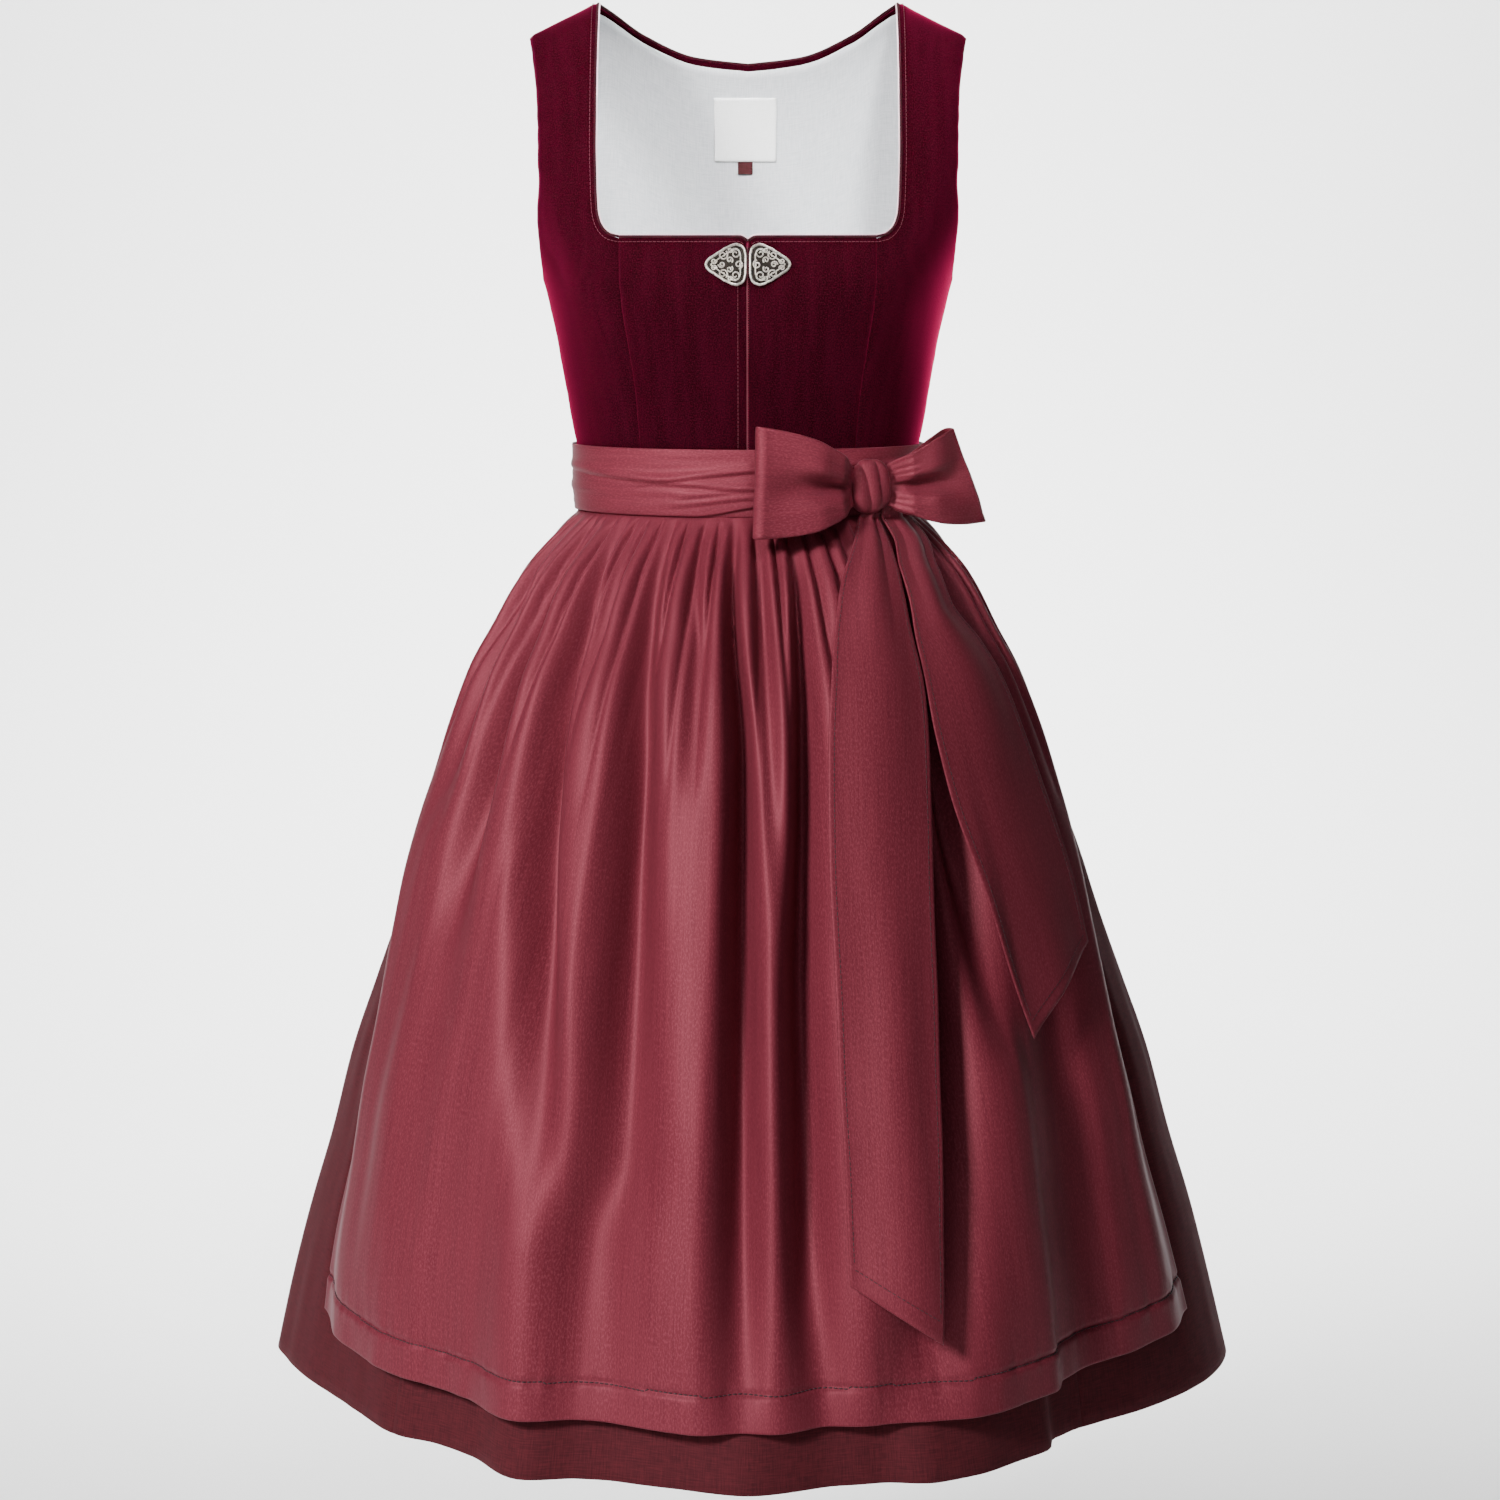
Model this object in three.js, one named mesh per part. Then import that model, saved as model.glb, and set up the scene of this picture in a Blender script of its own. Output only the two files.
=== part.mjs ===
import * as THREE from "three";

// A sleeveless dirndl with its apron, filled out as if worn, with nobody in it. Millimetres, z up. The origin
// is the middle of the shoulder line, the front faces -y, and +x is the wearer's left, where the bow is tied.
// A place on the garment is an angle round the body (0 at the centre front, 90 at the +x side, 180 at the
// centre back) and a level below the shoulder line. Every piece of cloth is a sheet: an outer face worked out
// from the shape of the body or the skirt, and an inner face moved in from it by the cloth's thickness.

const DEGREE = Math.PI / 180;

// Thickness of each cloth and the gaps left between pieces.
const VELVET = 1.2;
const LINING = 1;
const SKIRT_CLOTH = 1;
const APRON_CLOTH = 1;
const TIE_CLOTH = 1.3;
const SEAM_GAP = 0.3;
const LAYER_GAP = 0.45;

// Levels of the main edges.
const WAIST = -335;
const NECKLINE = -159;
const UNDERARM = -188;
const BACK_SEAM_TOP = -112;
const SKIRT_HEM = -948;
const APRON_TOP = -345.4;
const APRON_HEM = -909;
const BAND_TOP = -305;
const BAND_BOTTOM = -345;
const WRAP_TOP = -300;
const WRAP_BOTTOM = -345;

// Widths across the body.
const NECK_HALF_WIDTH = 103;
const FRONT_SLIT = 1.5;
const SHOULDER_SLOPE = 0.49;
const SHOULDER_DEPTH = 150;

const table = (names, rows) => {
  const keys = names.split(" ");
  return rows.map((row) => Object.fromEntries(keys.map((key, i) => [key, row[i]])));
};

const clamp = (value, low, high) => Math.min(high, Math.max(low, value));
const mix = (from, to, share) => from + (to - from) * share;
const bell = (distance) => Math.exp(-distance * distance);
const smooth = (from, to, value) => {
  const share = clamp((value - from) / (to - from), 0, 1);
  return share * share * (3 - 2 * share);
};

// A smooth curve through the rows of a table that never swings past them.
function curve(rows, from, to) {
  const points = rows.map((row) => [row[from], row[to]]).sort((a, b) => a[0] - b[0]);
  const last = points.length - 1;
  const rises = points.slice(1).map(([x, y], i) => (y - points[i][1]) / (x - points[i][0]));
  const slopes = points.map((point, i) => {
    if (i === 0) return rises[0];
    if (i === last) return rises[last - 1];
    const [before, after] = [rises[i - 1], rises[i]];
    return before * after > 0 ? (2 * before * after) / (before + after) : 0;
  });
  return (x) => {
    if (x <= points[0][0]) return points[0][1];
    if (x >= points[last][0]) return points[last][1];
    const i = points.findIndex((point) => point[0] > x) - 1;
    const width = points[i + 1][0] - points[i][0];
    const t = (x - points[i][0]) / width;
    return (
      (1 + 2 * t) * (1 - t) ** 2 * points[i][1] +
      t * (1 - t) ** 2 * width * slopes[i] +
      t * t * (3 - 2 * t) * points[i + 1][1] +
      t * t * (t - 1) * width * slopes[i + 1]
    );
  };
}

// Surfaces.

// Half width, front depth and back depth of the bodice at each drop below the shoulder line.
const TORSO = table("drop half front back", [
  [0, 155, 0.8, 0.8],
  [2, 155, 14, 13],
  [6, 155, 24, 23],
  [14, 155, 37, 36],
  [30, 155.5, 56, 52],
  [60, 157, 79, 70],
  [100, 158, 98, 84],
  [135, 155.5, 109, 92],
  [160, 150, 115, 96],
  [188, 141, 119, 98],
  [225, 132.5, 113, 94],
  [262, 126, 101, 88],
  [290, 121, 93, 83],
  [305, 118.2, 90, 81],
  [335, 115.5, 88, 79],
]).map((row) => ({ ...row, root: Math.sqrt(row.drop) }));
const torsoHalf = curve(TORSO, "root", "half");
const torsoFront = curve(TORSO, "root", "front");
const torsoBack = curve(TORSO, "root", "back");
const WAIST_HALF = torsoHalf(Math.sqrt(-WAIST));
const WAIST_FRONT = torsoFront(Math.sqrt(-WAIST));
const BUST = { out: 7, angle: 38, spread: 24, level: -195, rise: 45 };

function torso(angle, level) {
  const turn = angle * DEGREE;
  const root = Math.sqrt(Math.max(0, -level));
  const round = bell((Math.abs(angle) - BUST.angle) / BUST.spread);
  const bust = BUST.out * round * bell((level - BUST.level) / BUST.rise);
  const depth = Math.cos(turn) > 0 ? torsoFront(root) : torsoBack(root);
  const x = (torsoHalf(root) + bust) * Math.sin(turn);
  const y = -(depth + bust) * Math.cos(turn);
  const fall = SHOULDER_SLOPE * Math.max(0, Math.abs(x) - NECK_HALF_WIDTH);
  return new THREE.Vector3(x, y, level - fall * clamp(1 + level / SHOULDER_DEPTH, 0, 1));
}

// Plan of the skirt at each level: half width, front depth, back depth, and how much its diagonals draw in.
const SKIRT = table("level half front back draw", [
  [-335, 116.3, 88.7, 80, 0],
  [-346, 116.6, 89, 80.4, 0],
  [-350, 121, 93, 85, 0],
  [-357, 128, 100, 94, 0],
  [-367, 136, 108, 102, 0.002],
  [-394, 152, 124, 118, 0.006],
  [-422, 165, 137, 131, 0.009],
  [-454, 182, 154, 148, 0.013],
  [-488, 197, 169, 163, 0.017],
  [-519, 209, 181, 175, 0.021],
  [-554, 223, 195, 189, 0.025],
  [-586, 235, 207, 201, 0.029],
  [-620, 246, 218, 212, 0.033],
  [-681, 267, 239, 233, 0.04],
  [-727, 283, 255, 249, 0.045],
  [-785, 299, 271, 265, 0.052],
  [-837, 315, 287, 281, 0.059],
  [-886, 328, 300, 294, 0.064],
  [-948, 343, 315, 309, 0.071],
]);
const skirtHalf = curve(SKIRT, "level", "half");
const skirtFront = curve(SKIRT, "level", "front");
const skirtBack = curve(SKIRT, "level", "back");
const skirtDraw = curve(SKIRT, "level", "draw");

// The large waves at the hem: how far out of the plan the cloth stands at each angle.
const HEM_WAVES = table("angle out", [
  [-180, -2],
  [-166, -12],
  [-152, 2],
  [-139, -13],
  [-125, 1],
  [-111, -12],
  [-98, -2],
  [-90, -4],
  [-83, -12],
  [-75, -16],
  [-67, -17],
  [-60, -13],
  [-47, 0],
  [-41, -6],
  [-34.6, -2.5],
  [-26, 16],
  [-19.3, -5],
  [-14.9, -9.5],
  [-8.6, -7.5],
  [0, 2],
  [9.9, -9.5],
  [14.9, -6.7],
  [21.4, 8],
  [26, 8.3],
  [33, 2.5],
  [38.4, -1],
  [42, -15],
  [47.4, -18],
  [58.4, -12],
  [69.7, -6],
  [80, -2],
  [90, 1],
  [101, -12],
  [113, 0],
  [126, -13],
  [140, 1],
  [154, -14],
  [168, 0],
  [180, -2],
]);
const hemWave = curve(HEM_WAVES, "angle", "out");
const WAVE_START = -430;

// Gathers of the skirt below the waist: how deep they are at each level.
const SKIRT_GATHERS = 30;
const SKIRT_GATHER_DEPTH = curve(
  table("level deep", [
    [-335, 0],
    [-347, 1],
    [-360, 3],
    [-385, 5],
    [-440, 5],
    [-560, 2.5],
    [-700, 0],
  ]),
  "level",
  "deep",
);

const wrapped = (angle) => angle - 360 * Math.round(angle / 360);

// A place on the skirt's plan, moved out along the level normal of that plan.
function skirtPlan(angle, level, out) {
  const turn = angle * DEGREE;
  const half = skirtHalf(level);
  const depth = Math.cos(turn) > 0 ? skirtFront(level) : skirtBack(level);
  const drawn = 1 - skirtDraw(level) * Math.sin(2 * turn) ** 2;
  const normal = new THREE.Vector2(Math.sin(turn) / half, -Math.cos(turn) / depth).normalize();
  return new THREE.Vector3(
    half * Math.sin(turn) * drawn + normal.x * out,
    -depth * Math.cos(turn) * drawn + normal.y * out,
    level,
  );
}

function skirtWave(angle, level) {
  const share = clamp((WAVE_START - level) / (WAVE_START - SKIRT_HEM), 0, 1) ** 1.3;
  return hemWave(wrapped(angle)) * share;
}

function skirt(angle, level) {
  const gather = 0.5 - 0.5 * Math.cos(SKIRT_GATHERS * angle * DEGREE);
  return skirtPlan(angle, level, skirtWave(angle, level) - SKIRT_GATHER_DEPTH(level) * gather);
}

// The apron stands off the skirt by a clearance, its folds by the height of the ridges between the valleys.
const APRON_FORM = table("level clear ridge left right", [
  [-345, 1.6, 0, 84, 80],
  [-349, 2.2, 0.4, 84, 80],
  [-360, 2.4, 3, 83.6, 79.5],
  [-385, 2.6, 12, 82.8, 78.5],
  [-420, 2.8, 17, 81.8, 77.5],
  [-450, 3, 20, 80.9, 76.8],
  [-500, 3, 21, 79.5, 75.6],
  [-620, 3.2, 21, 75.5, 71.3],
  [-727, 3.4, 18, 72.4, 69.4],
  [-840, 3.6, 12, 71.7, 70.4],
  [-909, 3.6, 7, 70, 71.3],
]);
const apronClear = curve(APRON_FORM, "level", "clear");
const apronRidge = curve(APRON_FORM, "level", "ridge");
const apronLeft = curve(APRON_FORM, "level", "left");
const apronRight = curve(APRON_FORM, "level", "right");

// The valleys between the apron's folds. Each is followed down the cloth: its angle, its half width in
// degrees and the share of the ridge height that it takes away.
const APRON_VALLEYS = [
  [
    [-349, -71, 2.2, 0.5],
    [-400, -68, 2.6, 0.7],
    [-470, -65, 3, 0.4],
    [-560, -63, 4, 0],
  ],
  [
    [-349, -58, 2, 0.7],
    [-400, -56.2, 2.6, 0.95],
    [-480, -54.5, 3, 0.9],
    [-560, -52.6, 3.6, 0.6],
    [-650, -51, 5, 0.2],
    [-800, -50, 6, 0],
  ],
  [
    [-349, -43.5, 2, 0.7],
    [-405, -41.5, 3, 1],
    [-500, -38.8, 3.4, 1],
    [-650, -30.8, 3.6, 0.85],
    [-735, -27.1, 4, 0.5],
    [-800, -26, 5, 0],
  ],
  [
    [-349, -36.5, 1.6, 0.5],
    [-390, -35.5, 1.8, 0.5],
    [-470, -34.5, 2.4, 0],
  ],
  [
    [-349, -24.8, 2.2, 0.7],
    [-390, -24.3, 3.2, 1],
    [-500, -20.1, 3.6, 1],
    [-650, -17.2, 4, 0.9],
    [-745, -16.5, 5, 0.8],
    [-800, -19, 6, 0.7],
    [-909, -17.6, 7, 0.6],
  ],
  [
    [-349, -13, 1.6, 0.5],
    [-390, -12.6, 2, 0.55],
    [-432, -10.7, 2, 0.4],
    [-520, -9.5, 2, 0],
  ],
  [
    [-349, -4.5, 1.4, 0.8],
    [-400, -3.8, 1.5, 1],
    [-500, -1, 2, 1],
    [-700, -0.8, 2.6, 1],
    [-909, -0.6, 3.4, 0.9],
  ],
  [
    [-349, 3.4, 1.4, 0.6],
    [-390, 3.5, 1.6, 0.6],
    [-480, 3.9, 2, 0.4],
    [-600, 4.5, 2, 0],
  ],
  [
    [-349, 13.5, 1.8, 0.7],
    [-420, 11.8, 2.2, 0.9],
    [-522, 9.9, 2.4, 1],
    [-650, 7.9, 2.8, 1],
    [-820, 7.5, 3.4, 0.9],
    [-909, 8.4, 4, 0.8],
  ],
  [
    [-349, 29, 2.2, 0.6],
    [-420, 30, 3, 0.8],
    [-545, 30, 3.4, 0.95],
    [-640, 27.6, 3.6, 1],
    [-780, 23.6, 4.4, 1],
    [-909, 19.5, 5, 0.9],
  ],
  [
    [-349, 43, 2.2, 0.6],
    [-420, 40, 3, 0.9],
    [-545, 36.6, 3, 0.9],
    [-610, 36.4, 3.6, 0.6],
    [-700, 37, 4, 0],
  ],
  [
    [-349, 60, 2.4, 0.6],
    [-420, 58, 3, 0.8],
    [-560, 54, 4, 0.6],
    [-700, 50, 6, 0.4],
    [-909, 47, 7, 0.3],
  ],
].map((rows) => {
  const named = table("level angle width share", rows);
  return {
    angle: curve(named, "level", "angle"),
    width: curve(named, "level", "width"),
    share: curve(named, "level", "share"),
  };
});

const APRON_GATHER = 5.1;
const APRON_GATHER_HEIGHT = curve(
  table("level high", [
    [-345, 0],
    [-350, 1.6],
    [-362, 2.6],
    [-385, 2.2],
    [-420, 0.8],
    [-450, 0],
  ]),
  "level",
  "high",
);
const EDGE_FADE = 9;

// How far the apron stands off the skirt, without its folds.
const apronBase = (angle, level) => skirtWave(angle, level) + apronClear(level);

function apronFold(angle, level) {
  const left = angle + apronLeft(level);
  const right = apronRight(level) - angle;
  const fade = smooth(0, EDGE_FADE, Math.max(0, Math.min(left, right)));
  const kept = APRON_VALLEYS.map(
    (valley) => 1 - valley.share(level) * bell((angle - valley.angle(level)) / valley.width(level)),
  ).reduce((product, share) => product * share, 1);
  const gather = 0.5 + 0.5 * Math.cos((360 / APRON_GATHER) * angle * DEGREE);
  return fade * (apronRidge(level) * kept + APRON_GATHER_HEIGHT(level) * gather);
}

const apron = (angle, level) =>
  skirtPlan(angle, level, apronBase(angle, level) + apronFold(angle, level));

// Bands that follow the waist, standing off the bodice by a distance.
function aroundWaist(angle, level, out) {
  const turn = angle * DEGREE;
  const place = torso(angle, Math.max(level, WAIST));
  const normal = new THREE.Vector2(Math.sin(turn) / WAIST_HALF, -Math.cos(turn) / WAIST_FRONT).normalize();
  return new THREE.Vector3(place.x + normal.x * out, place.y + normal.y * out, level);
}
const WAISTBAND_OUT = curve(
  table("level out", [
    [-300, 1.7],
    [-305, 1.7],
    [-318, 2.2],
    [-332, 3.2],
    [-350, 3.2],
  ]),
  "level",
  "out",
);
const waistband = (angle, level) => aroundWaist(angle, level, WAISTBAND_OUT(level));

// The wrapped tie lies over the waistband. Its creases run round the waist and fan together to the knot.
const WRAP_OUT = curve(
  table("level out", [
    [-300, 3.2],
    [-305, 3.5],
    [-318, 4.2],
    [-332, 5.2],
    [-350, 5.2],
  ]),
  "level",
  "out",
);
const CREASES = { count: 2.6, high: 1.6, tilt: 0.35 };
function wrap(angle, level) {
  const down = clamp((WRAP_TOP - level) / (WRAP_TOP - WRAP_BOTTOM), 0, 1);
  const fan = CREASES.tilt * Math.sin(angle * DEGREE);
  const crease = 0.5 - 0.5 * Math.cos(2 * Math.PI * CREASES.count * (down + fan));
  return aroundWaist(angle, level, WRAP_OUT(level) + CREASES.high * crease * Math.sin(Math.PI * down));
}

// Building sheets of cloth.

const STEP = { angle: 0.05, level: 0.02 };

function normalAt(surface, u, v, step = STEP) {
  const along = surface(u + step.angle, v).sub(surface(u - step.angle, v));
  const up = surface(u, v + step.level).sub(surface(u, v - step.level));
  return along.cross(up).normalize();
}

// Triangles between two rows of places, taken in order of how far along its row each place is.
function stitched(low, high) {
  const share = (row, i) => (row[i].u - row[0].u) / (row.at(-1).u - row[0].u);
  const faces = [];
  let i = 0;
  let j = 0;
  while (i < low.length - 1 || j < high.length - 1) {
    const lowNext = i < low.length - 1 ? share(low, i + 1) : Infinity;
    const highNext = j < high.length - 1 ? share(high, j + 1) : Infinity;
    if (lowNext <= highNext + 1e-9) {
      faces.push([low[i], low[i + 1], high[j]]);
      i += 1;
    } else {
      faces.push([low[i], high[j + 1], high[j]]);
      j += 1;
    }
  }
  return faces;
}

// A sheet of cloth on a surface. Its rows run from the lowest to the highest, each a list of [u, v] places
// with u growing; depth is how far in from the surface its outer face lies. A ring closes on itself.
function sheet(surface, rows, { depth = 0, thick, ring = false, step = STEP }) {
  const positions = [];
  const grid = rows.map((row) => {
    const places = row.map(([u, v], i) => {
      if (ring && i === row.length - 1) return { u };
      const place = surface(u, v);
      const normal = normalAt(surface, u, v, step);
      const outer = place.clone().addScaledVector(normal, -depth);
      const inner = place.clone().addScaledVector(normal, -depth - thick);
      positions.push(...outer.toArray(), ...inner.toArray());
      return { u, outer: positions.length / 3 - 2, inner: positions.length / 3 - 1 };
    });
    if (ring) places[places.length - 1] = { ...places[0], u: row.at(-1)[0] };
    return places;
  });
  const faces = [];
  const quad = (a, b, c, d) => faces.push(a, b, c, a, c, d);
  grid.slice(1).forEach((high, k) => {
    const low = grid[k];
    for (const [a, b, c] of stitched(low, high)) {
      faces.push(a.outer, b.outer, c.outer, c.inner, b.inner, a.inner);
    }
    if (ring) return;
    quad(low[0].outer, high[0].outer, high[0].inner, low[0].inner);
    quad(high.at(-1).outer, low.at(-1).outer, low.at(-1).inner, high.at(-1).inner);
  });
  grid[0].slice(1).forEach((next, i) => quad(next.outer, grid[0][i].outer, grid[0][i].inner, next.inner));
  const top = grid.at(-1);
  top.slice(1).forEach((next, i) => quad(top[i].outer, next.outer, next.inner, top[i].inner));
  const geometry = new THREE.BufferGeometry();
  geometry.setAttribute("position", new THREE.Float32BufferAttribute(positions, 3));
  geometry.setIndex(faces);
  geometry.computeVertexNormals();
  return geometry;
}

const span = (from, to, count) => Array.from({ length: count + 1 }, (_, i) => mix(from, to, i / count));

// The angle that moves a place by a distance along its row.
function angleFor(surface, angle, level, distance) {
  return distance / surface(angle + 0.5, level).distanceTo(surface(angle - 0.5, level));
}

// Rows across a panel from its left edge to its right edge, each edge drawn in for the seam.
function panelRows(surface, levels, left, right, count, gap = SEAM_GAP / 2) {
  return levels.map((level) => {
    const from = left(level) + angleFor(surface, left(level), level, gap);
    const to = right(level) - angleFor(surface, right(level), level, gap);
    const columns = typeof count === "function" ? count(level) : count;
    return span(from, to, columns).map((angle) => [angle, level]);
  });
}

// Bodice.

const angleOfX = (x, level) => {
  const half = torsoHalf(Math.sqrt(Math.max(0, -level)));
  return Math.asin(clamp(x / half, -1, 1)) / DEGREE;
};

const PRINCESS_X = curve(
  table("level x", [
    [-335, 72],
    [-290, 74],
    [-225, 79],
    [-159, 84],
  ]),
  "level",
  "x",
);
const NECK_SIDE_X = curve(
  table("level x", [
    [-159, 84],
    [-155, 88.5],
    [-150, 92.5],
    [-142, 97.6],
    [-124, 101.6],
    [-95, 103],
    [0, 103],
  ]),
  "level",
  "x",
);
const frontSeam = (level) => angleOfX(level > NECKLINE ? NECK_SIDE_X(level) : PRINCESS_X(level), level);

// The armhole edge on the front, as an angle at each level; the back mirrors it.
const ARMHOLE = curve(
  table("level angle", [
    [-188, 90],
    [-184, 83.5],
    [-178, 79],
    [-168, 74.8],
    [-150, 70],
    [-110, 64.8],
    [-60, 66.5],
    [-20, 72],
    [0, 75.2],
  ]),
  "level",
  "angle",
);
const sideEdge = (level) => (level > UNDERARM ? ARMHOLE(level) : 90);
const backSide = (level) => (level > UNDERARM ? 180 - ARMHOLE(level) : 90);
const BACK_SEAM = curve(
  table("level angle", [
    [-335, 154],
    [-290, 151],
    [-235, 144],
    [-188, 134],
    [-150, 124],
    [-112, 115.4],
  ]),
  "level",
  "angle",
);

const levelsOf = (drops) => drops.map((drop) => -drop);
const FRONT_LEVELS = levelsOf([335, 305, 270, 235, 205, 188, 178, 168, 159]);
const SIDE_FRONT_LEVELS = levelsOf([
  335, 305, 270, 235, 205, 188, 184, 178, 168, 159, 155, 150, 142, 124, 95, 62, 34, 15, 5, 1, 0,
]);
const SIDE_BACK_LEVELS = levelsOf([335, 305, 270, 235, 205, 188, 168, 146, 124, 114]);
const BACK_DROPS = [335, 305, 270, 235, 205, 188, 168, 146, 124, 112, 85, 58, 34, 15, 5, 1, 0];

// The back neckline: how far the edge drops at each distance from the centre back.
const BACK_NECK = curve(
  table("x drop", [
    [0, 39],
    [37, 34.7],
    [73, 20],
    [94, 5.7],
    [103, 0],
  ]),
  "x",
  "drop",
);
const BACK_COLUMNS = [0, 0.11, 0.224, 0.3, 0.37, 0.435, 0.5, 0.565, 0.63, 0.7, 0.776, 0.89, 1];
const backAngle = (share, level) => {
  const edge = level > BACK_SEAM_TOP ? backSide(level) : BACK_SEAM(level);
  const from = edge + angleFor(torso, edge, level, SEAM_GAP / 2);
  return mix(from, 360 - from, share);
};
const backDrop = (share) => {
  let drop = 0;
  for (let pass = 0; pass < 40; pass += 1) {
    const x = Math.abs(torso(backAngle(share, -drop), -drop).x);
    drop = mix(drop, x < NECK_HALF_WIDTH ? BACK_NECK(x) : 0, 0.5);
  }
  return drop < 0.01 ? 0 : drop;
};
const backTops = BACK_COLUMNS.map(backDrop);
const backRowsFor = (drops) =>
  drops.map((drop) =>
    BACK_COLUMNS.map((share, i) => {
      const level = -(backTops[i] + (drop * (-WAIST - backTops[i])) / -WAIST);
      return [backAngle(share, level), level];
    }),
  );
const backRows = backRowsFor(BACK_DROPS);

const mirrored = (edge) => (level) => -edge(level);
const slit = (side) => (level) => angleOfX((side * FRONT_SLIT) / 2, level);
const frontRows = {
  left: panelRows(torso, FRONT_LEVELS, mirrored(frontSeam), slit(-1), 5),
  right: panelRows(torso, FRONT_LEVELS, slit(1), frontSeam, 5),
};
const sideFrontRows = {
  left: panelRows(torso, SIDE_FRONT_LEVELS, mirrored(sideEdge), mirrored(frontSeam), 5),
  right: panelRows(torso, SIDE_FRONT_LEVELS, frontSeam, sideEdge, 5),
};
const sideBackRows = {
  left: panelRows(torso, SIDE_BACK_LEVELS, mirrored(BACK_SEAM), mirrored(backSide), 4),
  right: panelRows(torso, SIDE_BACK_LEVELS, backSide, BACK_SEAM, 4),
};

// The lining stops a little short of the shoulder seam and of the cut edges.
const LINING_TOP = 5;
const LINING_INSET = 0.9;
const liningDrops = (drops) => [...drops.filter((drop) => drop > LINING_TOP), LINING_TOP];
const liningSide = liningDrops(SIDE_FRONT_LEVELS.map((level) => -level)).map((drop) => -drop);
const liningRows = {
  left: panelRows(torso, liningSide, mirrored(sideEdge), mirrored(frontSeam), 5, LINING_INSET),
  right: panelRows(torso, liningSide, frontSeam, sideEdge, 5, LINING_INSET),
  back: backRowsFor(liningDrops(BACK_DROPS)),
};

const bodice = { thick: VELVET };
const lining = { depth: VELVET + LAYER_GAP, thick: LINING };

// The neckline, walked once round from the right of the front slit to its left.
function necklinePath() {
  const front = frontRows.right.at(-1).slice(0, -1);
  const strap = sideFrontRows.right.filter(([place]) => place[1] >= NECKLINE).map(([place]) => place);
  const back = backRows.at(-1).slice(3, BACK_COLUMNS.indexOf(0.5) + 1);
  const half = [...front, ...strap, ...back];
  const other = half.slice(0, -1).map(([angle, level]) => [-angle, level]);
  return [...half, ...other.reverse()];
}
const PIPING = { radius: 1.3, sides: 6, clear: 0.45 };

// A round cord along a path, closed at both ends.
function cord(path, radius, sides) {
  const positions = [];
  path.forEach((place, i) => {
    const before = path[Math.max(0, i - 1)];
    const after = path[Math.min(path.length - 1, i + 1)];
    const along = after.centre.clone().sub(before.centre).normalize();
    const across = new THREE.Vector3().crossVectors(along, place.normal).normalize();
    const up = new THREE.Vector3().crossVectors(across, along);
    for (let k = 0; k < sides; k += 1) {
      const turn = (2 * Math.PI * k) / sides;
      const point = place.centre
        .clone()
        .addScaledVector(across, radius * Math.cos(turn))
        .addScaledVector(up, radius * Math.sin(turn));
      positions.push(...point.toArray());
    }
  });
  const faces = [];
  for (let i = 0; i < path.length - 1; i += 1) {
    for (let k = 0; k < sides; k += 1) {
      const a = i * sides + k;
      const b = i * sides + ((k + 1) % sides);
      faces.push(a, a + sides, b, b, a + sides, b + sides);
    }
  }
  const end = (path.length - 1) * sides;
  for (let k = 1; k < sides - 1; k += 1) {
    faces.push(0, k, k + 1);
    faces.push(end, end + k + 1, end + k);
  }
  const geometry = new THREE.BufferGeometry();
  geometry.setAttribute("position", new THREE.Float32BufferAttribute(positions, 3));
  geometry.setIndex(faces);
  geometry.computeVertexNormals();
  return geometry;
}

// The piping lies beside the cut edge, on the open side of it, level with the middle of the cloth.
function neckPiping() {
  const edge = necklinePath().map(([angle, level]) => {
    const normal = normalAt(torso, angle, level);
    return { centre: torso(angle, level).addScaledVector(normal, -VELVET / 2), normal };
  });
  const path = edge.map((place, i) => {
    const before = edge[Math.max(0, i - 1)].centre;
    const after = edge[Math.min(edge.length - 1, i + 1)].centre;
    const along = after.clone().sub(before).normalize();
    const away = new THREE.Vector3().crossVectors(place.normal, along).normalize();
    const centre = place.centre.clone().addScaledVector(away, PIPING.radius + PIPING.clear);
    return { centre, normal: place.normal };
  });
  return cord(path, PIPING.radius, PIPING.sides);
}

// Clasp.

// Half of the clasp: its outline, as half heights at distances out from its flat side.
const CLASP = { width: 27.5, thick: 2.2, centre: 14.5, level: -177 };
const CLASP_OUTLINE = table("away high", [
  [0, 6.7],
  [1.2, 10.9],
  [3, 12.7],
  [6.5, 14.1],
  [10, 13.3],
  [12.8, 11.7],
  [15, 11],
  [17, 9.4],
  [19.6, 7.9],
  [22, 6.2],
  [24.7, 4.6],
  [26.6, 2.5],
  [27.5, 0],
]);
const CLASP_HOLES = { count: 3, spread: 6.2, width: 2.2, height: 1.7, shift: -3 };

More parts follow.
